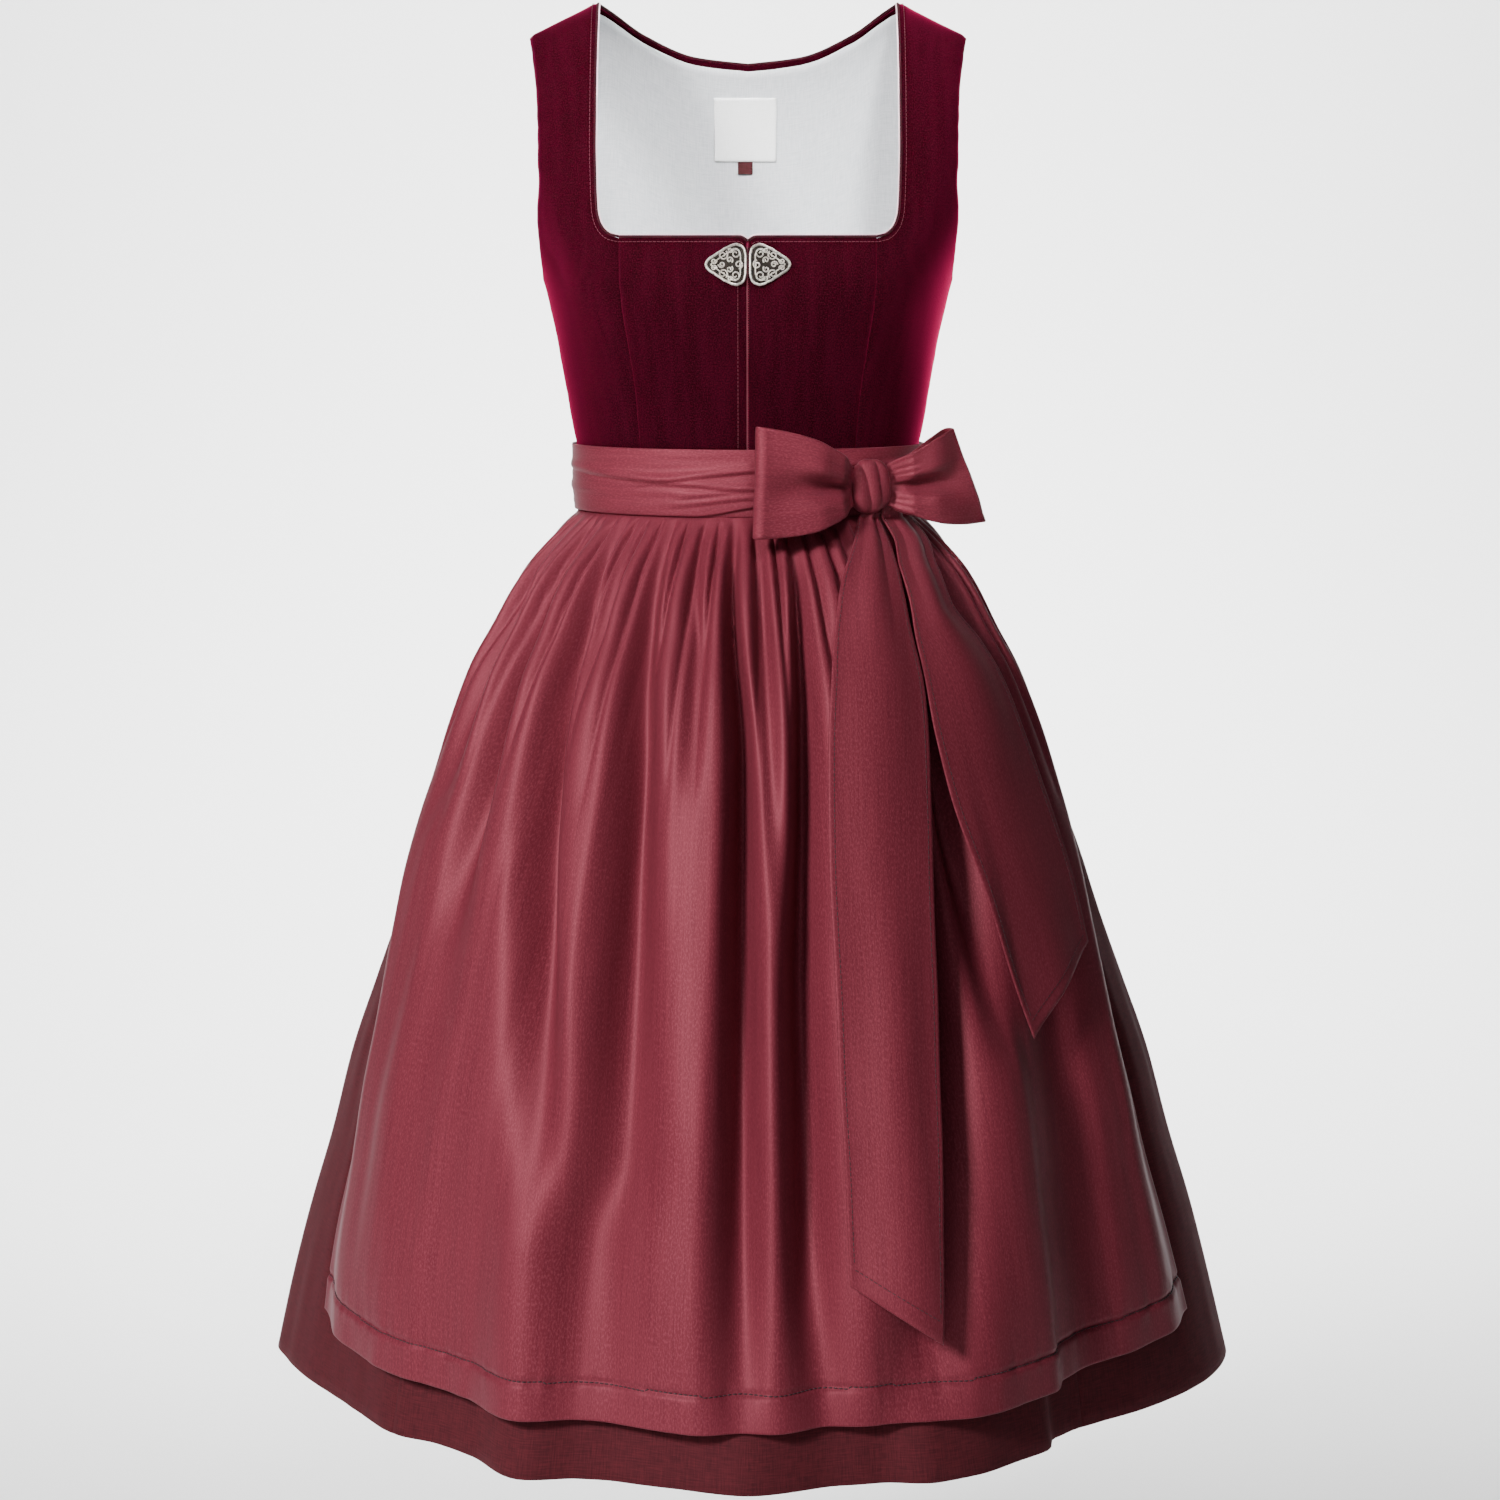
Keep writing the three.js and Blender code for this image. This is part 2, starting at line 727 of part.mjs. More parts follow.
function claspHalf(side) {
  const lower = CLASP_OUTLINE.map(({ away, high }) => new THREE.Vector2(away - CLASP.width / 2, -high));
  const upper = lower.slice(0, -1).map(({ x, y }) => new THREE.Vector2(x, -y));
  const outline = new THREE.Shape([...lower, ...upper.reverse()]);
  for (let k = 0; k < CLASP_HOLES.count; k += 1) {
    const turn = ((k - 1) * 2 * Math.PI) / 5;
    const x = CLASP_HOLES.spread * Math.cos(turn) + CLASP_HOLES.shift;
    const y = CLASP_HOLES.spread * Math.sin(turn);
    const hole = new THREE.Path();
    hole.absellipse(x, y, CLASP_HOLES.width, CLASP_HOLES.height, 0, 2 * Math.PI, true);
    outline.holes.push(hole);
  }
  const geometry = new THREE.ExtrudeGeometry(outline, {
    depth: CLASP.thick,
    bevelEnabled: false,
    curveSegments: 5,
  });
  const x = side * CLASP.centre;
  const angle = angleOfX(x, CLASP.level);
  const place = torso(angle, CLASP.level);
  const out = normalAt(torso, angle, CLASP.level);
  const up = new THREE.Vector3(0, 0, 1).addScaledVector(out, -out.z).normalize();
  const right = new THREE.Vector3().crossVectors(up, out);
  if (side < 0) geometry.rotateZ(Math.PI);
  geometry.translate(0, 0, SEAM_GAP);
  geometry.applyMatrix4(new THREE.Matrix4().makeBasis(right, up, out).setPosition(place));
  return geometry;
}

// Bow.

const KNOT = {
  x: 82,
  y: -81.2,
  level: -325,
  width: 15,
  deep: 8.6,
  high: 18.5,
  facing: 32,
  power: 2.8,
  folds: 3,
  fold: 0.05,
  slant: 0.25,
};

function knot() {
  const geometry = new THREE.SphereGeometry(1, 16, 10);
  geometry.rotateX(Math.PI / 2);
  const spots = geometry.attributes.position;
  for (let i = 0; i < spots.count; i += 1) {
    const spot = new THREE.Vector3().fromBufferAttribute(spots, i);
    const reach = spot.toArray().reduce((sum, side) => sum + Math.abs(side) ** KNOT.power, 0);
    const boxy = reach ** (-1 / KNOT.power);
    const fold = Math.cos(KNOT.folds * Math.PI * (spot.x + KNOT.slant * spot.z)) * (1 - spot.z * spot.z);
    spot.multiplyScalar(mix(1, boxy, 0.5) * (1 + KNOT.fold * fold));
    spots.setXYZ(i, spot.x * KNOT.width, spot.y * KNOT.deep, spot.z * KNOT.high);
  }
  geometry.rotateZ(KNOT.facing * DEGREE);
  geometry.translate(KNOT.x, KNOT.y, KNOT.level);
  return geometry;
}

// A loop of the bow is one band of cloth that leaves the knot, turns at its outer fold and comes back.
const LOOP_SHAPE = table("out high fat", [
  [0, 12.5, 1.3],
  [0.2, 19, 2.6],
  [0.45, 28, 5.4],
  [0.7, 35, 7],
  [0.88, 35.5, 6.4],
  [1, 31, 6],
]);
const loopHigh = curve(LOOP_SHAPE, "out", "high");
const loopFat = curve(LOOP_SHAPE, "out", "fat");
const FOLD_SHARE = 0.16;
const SEATED = 2;
const PLEAT = { count: 2.5, deep: 1.5 };

function bowLoop({ side, x, y, level, endX, endY, endLevel }) {
  const out = new THREE.Vector2(endX - x, endY - y);
  const length = out.length();
  out.normalize();
  const front = new THREE.Vector2(side * out.y, -side * out.x);
  const round = loopFat(1);
  const surface = (s, t) => {
    const away = Math.abs(s);
    const layer = Math.sign(s) * -side;
    let along = length - round + round * Math.cos((away / FOLD_SHARE) * (Math.PI / 2));
    let across = layer * round * Math.sin((away / FOLD_SHARE) * (Math.PI / 2));
    if (away > FOLD_SHARE) {
      along = ((length - round) * (1 - away)) / (1 - FOLD_SHARE);
      across = layer * loopFat(along / (length - round));
    }
    const share = clamp(along / length, 0, 1);
    const pleat = PLEAT.deep * Math.cos(PLEAT.count * Math.PI * t) * (1 - share) ** 1.5;
    const seated = along - SEATED * t * t * (1 - share) ** 2;
    const aside = across + pleat - PLEAT.deep * (1 - share) ** 1.5;
    return new THREE.Vector3(
      x + out.x * seated + front.x * aside,
      y + out.y * seated + front.y * aside,
      mix(level, endLevel, share) + t * loopHigh(share),
    );
  };
  const turns = [1, 0.82, 0.62, 0.42, 0.26, 0.16, 0.1, 0.05];
  const columns = [...turns.map((turn) => -turn), 0, ...turns.toReversed()];
  const rows = span(-1, 1, 6).map((t) => columns.map((s) => [s, t]));
  return sheet(surface, rows, { thick: TIE_CLOTH, step: { angle: 0.002, level: 0.002 } });
}

const LOOPS = {
  left: { side: -1, x: 69.6, y: -90.3, level: -325, endX: 3.5, endY: -127, endLevel: -320 },
  right: { side: 1, x: 95.2, y: -73.7, level: -325, endX: 163, endY: -46, endLevel: -319 },
};

// Hanging ends of the tie.

// Each end hangs over the apron: the angles of its two edges at each level, and how far it stands off the
// highest folds under it.
const TAILS = {
  long: {
    rows: table("level left right off", [
      [-343.5, 37, 44.6, 9],
      [-355, 32.5, 43.2, 4],
      [-383, 23, 39.2, 2],
      [-402, 20, 37.6, 1.6],
      [-437, 16.6, 35.6, 2.2],
      [-477, 14.3, 33.4, 1.8],
      [-522, 13.1, 31, 1.4],
      [-584, 12.1, 27.9, 1.2],
      [-645, 11.9, 26.1, 1.2],
      [-707, 11.6, 24.4, 1.2],
      [-769, 11.7, 23.2, 1.2],
      [-857, 11.7, 21.6, 1.2],
    ]),
    cut: { left: -819, right: -857 },
  },
  short: {
    rows: table("level left right off", [
      [-338, 46, 60, 9.5],
      [-356, 45, 60, 4],
      [-378, 40.3, 54, 2.4],
      [-402, 38.8, 52, 1.8],
      [-428, 37, 56, 1.5],
      [-458, 35.4, 57.2, 1.3],
      [-483, 34.9, 57.6, 1.2],
      [-521, 35.3, 58.6, 1.2],
      [-581, 37.7, 59, 1.2],
      [-628, 39.5, 58.8, 1.2],
      [-681, 42.6, 58.6, 1.2],
    ]),
    cut: { left: -681, right: -628 },
  },
};
const TAIL_WAVE = 1.5;

function tail({ rows, cut }) {
  const left = curve(rows, "level", "left");
  const right = curve(rows, "level", "right");
  const off = curve(rows, "level", "off");
  const top = rows[0].level;
  const surface = (angle, level) => {
    const share = (angle - left(level)) / (right(level) - left(level));
    const cover = apronBase(angle, level) + apronRidge(level) + APRON_GATHER_HEIGHT(level) + TIE_CLOTH;
    const wave = TAIL_WAVE * (1 - Math.cos(2 * Math.PI * share));
    return skirtPlan(angle, level, cover + off(level) + wave);
  };
  const levels = [0, 0.02, 0.05, 0.1, 0.18, 0.28, 0.4, 0.55, 0.7, 0.85, 1].reverse();
  const places = levels.map((share) =>
    span(0, 1, 6).map((across) => {
      const level = mix(top, mix(cut.left, cut.right, across), share);
      return [mix(left(level), right(level), across), level];
    }),
  );
  return sheet(surface, places, { thick: TIE_CLOTH });
}

// Skirt, apron and bands.

const SKIRT_DENSE = levelsOf([335.4, 347, 352, 364, 385]);
const SKIRT_SPARSE = levelsOf([420, 470, 530, 600, 680, 765, 855, 948]);
const SKIRT_LEVELS = [...SKIRT_DENSE, ...SKIRT_SPARSE].reverse();
const SKIRT_SEAMS = [-48, 48, 132, 228, 312];
const denseBelow = (dense, sparse) => (level) => (level >= SKIRT_DENSE.at(-1) ? dense : sparse);

function skirtPanel(from, to) {
  const columns = Math.round((to - from) / 3);
  return sheet(
    skirt,
    panelRows(skirt, SKIRT_LEVELS, () => from, () => to, denseBelow(columns, columns / 2)),
    { thick: SKIRT_CLOTH },
  );
}

const APRON_LEVELS = levelsOf([345.4, 350, 360, 385, 415, 455, 505, 565, 635, 710, 785, 850, 909]).reverse();
const APRON_COLUMNS = { dense: 112, sparse: 56 };
const APRON_CORNER = { rise: 16, power: 3 };

function apronRows() {
  return APRON_LEVELS.map((level) => {
    const count = level > -400 ? APRON_COLUMNS.dense : APRON_COLUMNS.sparse;
    const share = (APRON_TOP - level) / (APRON_TOP - APRON_HEM);
    return span(-1, 1, count).map((across) => {
      const lifted = level + APRON_CORNER.rise * Math.abs(across) ** APRON_CORNER.power * share ** 4;
      return [across * (across < 0 ? apronLeft(lifted) : apronRight(lifted)), lifted];
    });
  });
}

const BAND_CLOTH = 1.2;
const BAND_COLUMNS = 27;
function bandRows() {
  const [left, right] = [-apronLeft(APRON_TOP), apronRight(APRON_TOP)];
  return span(BAND_BOTTOM, BAND_TOP, 3).map((level) =>
    span(left, right, BAND_COLUMNS).map((angle) => [angle, level]),
  );
}

// The lower edge of the wrapped tie rises on its way to the knot.
const WRAP_RISE = { high: 9, from: -20, full: 12, until: 52, end: 75 };
const wrapBottom = (angle) => {
  const risen = smooth(WRAP_RISE.from, WRAP_RISE.full, angle);
  const left = 1 - smooth(WRAP_RISE.until, WRAP_RISE.end, angle);
  return WRAP_BOTTOM + WRAP_RISE.high * risen * left;
};

function wrapRows() {
  return span(1, 0, 5).map((down) =>
    span(-180, 180, 60).map((angle) => [angle, mix(WRAP_TOP, wrapBottom(angle), down)]),
  );
}

// Small parts.

const INSIDE_BACK = VELVET + LAYER_GAP + LINING;
const LABEL = { left: -24, right: 20, top: -60, bottom: -104, thick: 1, clear: 0.8 };
const TAB = { left: -7, right: 3, top: -104.6, bottom: -113, thick: 1, clear: 0.8 };
const ZIP = { half: 8, thick: 1, clear: 0.9, levels: levelsOf([334, 305, 270, 235, 205, 188, 161]) };

function frontZip() {
  const rows = panelRows(torso, ZIP.levels, slit(-ZIP.half), slit(ZIP.half), 4);
  return sheet(torso, rows, { depth: VELVET + ZIP.clear, thick: ZIP.thick });
}

function insideBack({ left, right, top, bottom, thick, clear }) {
  const rows = span(bottom, top, 3).map((level) =>
    span(180 - angleOfX(right, level), 180 - angleOfX(left, level), 3).map((angle) => [angle, level]),
  );
  return sheet(torso, rows, { depth: INSIDE_BACK + clear, thick });
}

// The garment.

const group = new THREE.Group();

function add(name, geometry, colour, look = {}) {
  const material = new THREE.MeshStandardMaterial({ color: colour, roughness: 0.8, ...look });
  const mesh = new THREE.Mesh(geometry, material);
  mesh.name = name;
  group.add(mesh);
}

const WINE = 0x8f1138;
const SATIN = 0x9b3e4e;
const BURGUNDY = 0x64212a;
const WHITE = 0xdadbde;
const SILVER = { color: 0xb9b6ae, metalness: 1, roughness: 0.35 };

add("front_left", sheet(torso, frontRows.left, bodice), WINE);
add("front_right", sheet(torso, frontRows.right, bodice), WINE);
add("side_front_left", sheet(torso, sideFrontRows.left, bodice), WINE);
add("side_front_right", sheet(torso, sideFrontRows.right, bodice), WINE);
add("side_back_left", sheet(torso, sideBackRows.left, bodice), WINE);
add("side_back_right", sheet(torso, sideBackRows.right, bodice), WINE);
add("back", sheet(torso, backRows, bodice), WINE);
add("neck_piping", neckPiping(), 0x3a0d18);
add("lining_front_left", sheet(torso, liningRows.left, lining), WHITE);
add("lining_front_right", sheet(torso, liningRows.right, lining), WHITE);
add("lining_back", sheet(torso, liningRows.back, lining), WHITE);
add("front_zip", frontZip(), 0x5b1226);
add("clasp_left", claspHalf(-1), SILVER.color, SILVER);
add("clasp_right", claspHalf(1), SILVER.color, SILVER);
add("neck_label", insideBack(LABEL), 0xf2f2f0);
add("size_tab", insideBack(TAB), 0x4a1a20);
add("skirt_front", skirtPanel(SKIRT_SEAMS[0], SKIRT_SEAMS[1]), BURGUNDY);
add("skirt_side_right", skirtPanel(SKIRT_SEAMS[1], SKIRT_SEAMS[2]), BURGUNDY);
add("skirt_back", skirtPanel(SKIRT_SEAMS[2], SKIRT_SEAMS[3]), BURGUNDY);
add("skirt_side_left", skirtPanel(SKIRT_SEAMS[3], SKIRT_SEAMS[4]), BURGUNDY);
add("apron", sheet(apron, apronRows(), { thick: APRON_CLOTH }), SATIN);
add("apron_waistband", sheet(waistband, bandRows(), { thick: BAND_CLOTH }), SATIN);
add("tie_wrap", sheet(wrap, wrapRows(), { thick: TIE_CLOTH, ring: true }), SATIN);
add("bow_knot", knot(), SATIN);
add("bow_loop_left", bowLoop(LOOPS.left), SATIN);
add("bow_loop_right", bowLoop(LOOPS.right), SATIN);
add("tie_tail_long", tail(TAILS.long), SATIN);
add("tie_tail_short", tail(TAILS.short), SATIN);

export default group;
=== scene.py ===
"""A sleeveless dirndl with its apron, filled out as worn with nobody in it: velvet, satin and twill.

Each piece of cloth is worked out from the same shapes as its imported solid, with the folds, gathers, seams
and stitches that the solids leave out. Lengths are millimetres and angles are degrees round the body: 0 at
the centre front, 90 at the wearer's left (+x), 180 at the centre back. Levels are heights below the shoulder
line. A mesh turns to metres when it is made.
"""

from __future__ import annotations

import logging
import math
from collections.abc import Callable, Sequence
from dataclasses import dataclass
from enum import Enum

import bpy
import numpy as np
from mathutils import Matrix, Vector


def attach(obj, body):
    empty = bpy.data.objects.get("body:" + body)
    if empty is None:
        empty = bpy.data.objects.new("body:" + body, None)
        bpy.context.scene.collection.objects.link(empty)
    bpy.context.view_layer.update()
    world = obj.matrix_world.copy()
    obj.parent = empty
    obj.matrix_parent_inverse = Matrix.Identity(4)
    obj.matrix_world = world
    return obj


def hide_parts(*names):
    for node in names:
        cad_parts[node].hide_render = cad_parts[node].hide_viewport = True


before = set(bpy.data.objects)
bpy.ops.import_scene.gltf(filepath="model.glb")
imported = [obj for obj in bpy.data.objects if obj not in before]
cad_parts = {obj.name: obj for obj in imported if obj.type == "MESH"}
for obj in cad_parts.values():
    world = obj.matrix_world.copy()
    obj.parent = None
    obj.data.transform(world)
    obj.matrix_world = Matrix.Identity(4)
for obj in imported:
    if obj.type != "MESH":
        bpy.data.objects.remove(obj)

Array = np.ndarray
Rows = Sequence[Sequence[float]]
Surface = Callable[[Array, Array], Array]
Piece = bpy.types.Object
Tree = bpy.types.NodeTree
Node = bpy.types.Node
Socket = bpy.types.NodeSocket

MM = 0.001
DEGREE = math.pi / 180
THREADS = "threads"
SWELLS = 64
# How far to either side a slope is measured, in degrees round the body and mm up it
STEP = (0.05, 0.02)
log = logging.getLogger("dirndl")


# Small sums.


class Curve:
    """A smooth curve through the rows of a table, which never swings past them."""

    def __init__(self, rows: Rows, column: int = 1) -> None:
        """Takes one column of values from a table.

        Args:
            rows: The table's rows; the first column says where a row counts.
            column: The column of values.
        """
        points = np.array(sorted((row[0], row[column]) for row in rows), float)
        self.at, self.value = points[:, 0], points[:, 1]
        self.width = np.diff(self.at)
        rise = np.diff(self.value) / self.width
        before, after = rise[:-1], rise[1:]
        same = before * after > 0
        middle = np.where(same, 2 * before * after / np.where(same, before + after, 1), 0)
        self.slope = np.concatenate([rise[:1], middle, rise[-1:]])

    def __call__(self, x: Array | float) -> Array:
        """Reads the curve.

        Args:
            x: One or more places.

        Returns:
            The value at each place.
        """
        x = np.clip(x, self.at[0], self.at[-1])
        i = np.clip(np.searchsorted(self.at, x, side="right") - 1, 0, len(self.width) - 1)
        width = self.width[i]
        t = (x - self.at[i]) / width
        return (
            (1 + 2 * t) * (1 - t) ** 2 * self.value[i]
            + t * (1 - t) ** 2 * width * self.slope[i]
            + t * t * (3 - 2 * t) * self.value[i + 1]
            + t * t * (t - 1) * width * self.slope[i + 1]
        )


def curves(rows: Rows) -> list[Curve]:
    """A curve for each of a table's columns of values."""
    return [Curve(rows, column) for column in range(1, len(rows[0]))]


def mix(start: Array | float, end: Array | float, share: Array | float) -> Array:
    """A value a share of the way from start to end."""
    return start + (end - start) * share


def bell(distance: Array) -> Array:
    """A bell-shaped share: 1 at no distance, 0.37 at 1."""
    return np.exp(-distance * distance)


def smooth(start: float, end: float, value: Array | float) -> Array:
    """A share that eases from 0 at start to 1 at end."""
    share = np.clip((value - start) / (end - start), 0, 1)
    return share * share * (3 - 2 * share)


def unit(vectors: Array) -> Array:
    """The vectors at length 1."""
    return vectors / np.maximum(np.linalg.norm(vectors, axis=-1, keepdims=True), 1e-9)


def run(points: Array, axis: int) -> Array:
    """How far each place of a line or grid lies along it from its first row or column.

    Args:
        points: The places, with their coordinates last.
        axis: 0 to go from row to row, 1 to go along each row.

    Returns:
        The distance at each place.
    """
    steps = np.linalg.norm(np.diff(points, axis=axis), axis=-1)
    first = np.zeros_like(np.take(steps, [0], axis))
    return np.concatenate([first, np.cumsum(steps, axis=axis)], axis=axis)


@dataclass(frozen=True)
class Swell:
    """A soft random height over the cloth, the same in every run.

    One swell is wide by long, in the units of the places that it is asked for.
    """

    height: float
    wide: float
    long: float
    seed: int

    def __call__(self, across: Array | float, along: Array | float) -> Array:
        """The height at each place.

        Args:
            across: Place across the cloth.
            along: Place along the cloth.

        Returns:
            A value from -height to height for each place.
        """
        heights = np.random.default_rng(self.seed).uniform(-1, 1, (SWELLS, SWELLS))
        x, y = np.broadcast_arrays(np.asarray(across) / self.wide, np.asarray(along) / self.long)
        i, j = np.floor(x).astype(int), np.floor(y).astype(int)
        s, t = smooth(0, 1, x - i), smooth(0, 1, y - j)
        corner = lambda right, up: heights[(i + right) % SWELLS, (j + up) % SWELLS]
        low, high = mix(corner(0, 0), corner(1, 0), s), mix(corner(0, 1), corner(1, 1), s)
        return self.height * mix(low, high, t)


def normals(surface: Surface, u: Array, v: Array, step: tuple[float, float] = STEP) -> Array:
    """The outward directions of a surface.

    Args:
        surface: The surface's shape.
        u: First coordinate of each place.
        v: Second coordinate of each place.
        step: How far to either side the slope is measured, along u and v.

    Returns:
        A unit vector for each place.
    """
    along = surface(u + step[0], v) - surface(u - step[0], v)
    up = surface(u, v + step[1]) - surface(u, v - step[1])
    return unit(np.cross(along, up))


# Meshes.


def new_piece(name: str, points: Array, quads: Array, threads: Array | None = None) -> Piece:
    """Makes a smooth mesh object.

    Args:
        name: The piece's name.
        points: Places in mm, one row each.
        quads: Four point numbers a face.
        threads: Where each point lies on the flat cloth, in mm across and along the threads.

    Returns:
        The object, linked to the scene.
    """
    mesh = bpy.data.meshes.new(name)
    mesh.vertices.add(len(points))
    mesh.vertices.foreach_set("co", (points * MM).astype(np.float32).ravel())
    mesh.loops.add(quads.size)
    mesh.loops.foreach_set("vertex_index", quads.astype(np.int32).ravel())
    mesh.polygons.add(len(quads))
    mesh.polygons.foreach_set("loop_start", np.arange(0, quads.size, 4, dtype=np.int32))
    mesh.polygons.foreach_set("use_smooth", np.ones(len(quads), bool))
    mesh.update(calc_edges=True)
    if threads is not None:
        layer = mesh.uv_layers.new(name=THREADS)
        layer.uv.foreach_set("vector", (threads[quads.ravel()] * MM).astype(np.float32).ravel())
    piece = bpy.data.objects.new(name, mesh)
    bpy.context.scene.collection.objects.link(piece)
    return piece


def grid_quads(rows: int, columns: int, first: int = 0, ring: bool = False) -> Array:
    """The faces of a grid of points.

    Args:
        rows: Number of rows.
        columns: Points in a row.
        first: Number of the grid's first point.
        ring: Whether a row's last point joins its first.

    Returns:
        Four point numbers a face.
    """
    i, j = np.meshgrid(np.arange(rows - 1), np.arange(columns if ring else columns - 1), indexing="ij")
    right = (j + 1) % columns
    corners = [i * columns + j, i * columns + right, (i + 1) * columns + right, (i + 1) * columns + j]
    return first + np.stack(corners, -1).reshape(-1, 4)


def cloth_piece(name: str, outer: Array, inner: Array, threads: Array, ring: bool = False) -> Piece:
    """Makes a closed sheet of cloth with rounded edges.

    Args:
        name: The piece's name.
        outer: The outer face, as rows of places from the lowest to the highest.
        inner: The inner face, place for place.
        threads: Where each place lies on the flat cloth.
        ring: Whether the cloth closes on itself along its rows.

    Returns:
        The object.
    """
    rows, columns = outer.shape[:2]
    count = rows * columns
    number = np.arange(count).reshape(rows, columns)
    if ring:
        borders = [(number[0], number[1]), (number[-1][::-1], number[-2][::-1])]
    else:
        edge = np.concatenate([number[0, :-1], number[:-1, -1], number[-1, :0:-1], number[:0:-1, 0]])
        r, c = np.divmod(edge, columns)
        inside = number[np.clip(r, 1, rows - 2), np.clip(c, 1, columns - 2)]
        borders = [(edge, inside)]
    points = [outer.reshape(-1, 3), inner.reshape(-1, 3)]
    flat = [threads.reshape(-1, 2)] * 2
    quads = [grid_quads(rows, columns, 0, ring), grid_quads(rows, columns, count, ring)[:, ::-1]]
    first = 2 * count
    for edge, inside in borders:
        front, back = points[0][edge], points[1][edge]
        away = unit(front - points[0][inside])
        thick = np.linalg.norm(front - back, axis=-1, keepdims=True)
        points.append((front + back) / 2 + away * thick * 0.5)
        flat.append(flat[0][edge])
        middle = np.arange(first, first + len(edge))
        first += len(edge)
        now, after = edge, np.roll(edge, -1)
        quads.append(np.stack([after, now, middle, np.roll(middle, -1)], -1))
        quads.append(np.stack([np.roll(middle, -1), middle, now + count, after + count], -1))
    return new_piece(name, np.concatenate(points), np.concatenate(quads), np.concatenate(flat))


class Parts:
    """Small meshes that are gathered into one piece."""

    def __init__(self) -> None:
        """Starts with nothing."""
        self.points: list[Array] = []
        self.quads: list[Array] = []
        self.count = 0

    def add(self, points: Array, quads: Array) -> None:
        """Adds a mesh.

        Args:
            points: Its places, one row each.
            quads: Four of its own point numbers a face.
        """
        self.points.append(points)
        self.quads.append(quads + self.count)
        self.count += len(points)

    def tube(
        self, path: Array, up: Array, radius: Array | float, sides: int = 6, closed: bool = False
    ) -> None:
        """Adds a round wire or cord.

        Args:
            path: The places that it runs through.
            up: A direction square to the path at each place.
            radius: Its radius, or one for each place.
            sides: Faces round it, an even number.
            closed: Whether its end joins its start.
        """
        if closed:
            along = unit(np.roll(path, -1, 0) - np.roll(path, 1, 0))
        else:
            along = unit(np.gradient(path, axis=0))
        across = unit(np.cross(along, up))
        up = np.cross(across, along)
        turn = 2 * np.pi * np.arange(sides) / sides
        radius = np.broadcast_to(np.asarray(radius, float), len(path))[:, None, None]
        ring = np.cos(turn)[None, :, None] * across[:, None] + np.sin(turn)[None, :, None] * up[:, None]
        points = (path[:, None] + radius * ring).reshape(-1, 3)
        quads = grid_quads(len(path), sides, ring=True)[:, ::-1]
        if closed:
            last = (len(path) - 1) * sides
            k = np.arange(sides)
            after = (k + 1) % sides
            quads = np.concatenate([quads, np.stack([last + k, k, after, last + after], -1)])
        else:
            fan = np.array([[0, 2 * k - 1, 2 * k, 2 * k + 1] for k in range(1, sides // 2)])
            quads = np.concatenate([quads, fan, (fan + (len(path) - 1) * sides)[:, ::-1]])
        self.add(points, quads)

    def stitches(self, path: Array, up: Array, pitch: float, thick: float) -> None:
        """Adds a row of stitches along a line, each a short bowed length of thread.

        Args:
            path: The line, as close places.
            up: The cloth's outward direction at each place.
            pitch: Distance from one stitch to the next.
            thick: The thread's radius.
        """
        away = run(path, 0)
        count = max(1, int(away[-1] / pitch))
        middles = (np.arange(count) + 0.5) * away[-1] / count
        place = np.stack([np.interp(middles, away, path[:, k]) for k in range(3)], -1)
        ahead = np.stack([np.interp(middles + 0.4, away, path[:, k]) for k in range(3)], -1)
        behind = np.stack([np.interp(middles - 0.4, away, path[:, k]) for k in range(3)], -1)
        out = unit(np.stack([np.interp(middles, away, up[:, k]) for k in range(3)], -1))
        along = unit(ahead - behind)
        across = np.cross(along, out)
        spots = np.array([-0.5, -0.36, 0, 0.36, 0.5]) * pitch * 0.82
        lift = np.array([-0.6, 0.35, 0.8, 0.35, -0.6]) * thick
        wide = np.array([0.6, 1, 1, 1, 0.6]) * thick
        turn = 2 * np.pi * np.arange(4) / 4
        points = (
            place[:, None, None]
            + along[:, None, None] * spots[None, :, None, None]
            + out[:, None, None] * (lift[:, None] + wide[:, None] * np.sin(turn))[None, :, :, None]
            + across[:, None, None] * (wide[:, None] * np.cos(turn))[None, :, :, None]
        )
        one = np.concatenate([grid_quads(5, 4, ring=True)[:, ::-1], [[0, 1, 2, 3], [19, 18, 17, 16]]])
        quads = one[None] + 20 * np.arange(count)[:, None, None]
        self.add(points.reshape(-1, 3), quads.reshape(-1, 4))

    def piece(self, name: str) -> Piece:
        """Makes the object of all that was added."""
        points = np.concatenate(self.points)
        return new_piece(name, points, np.concatenate(self.quads), points[:, [0, 2]])


def thread_places(outer: Array, gathered: bool) -> Array:
    """Where each place of a hung cloth lies on the flat cloth.

    Args:
        outer: The cloth's outer face, as rows of places.
        gathered: Whether the cloth is as wide in every row, as cloth that is gathered at its top.

    Returns:
        Mm across and along the threads for each place.
    """
    across = run(outer, 1)
    if gathered:
        across = np.broadcast_to(across[np.argmax(across[:, -1])], across.shape)
    else:
        across = across - across[:, [across.shape[1] // 2]]
    rises = np.linalg.norm(np.diff(outer, axis=0), axis=-1).mean(axis=1)
    along = np.concatenate([[0], np.cumsum(rises)])[:, None] + np.zeros(outer.shape[1])
    return np.stack([across, along], -1)


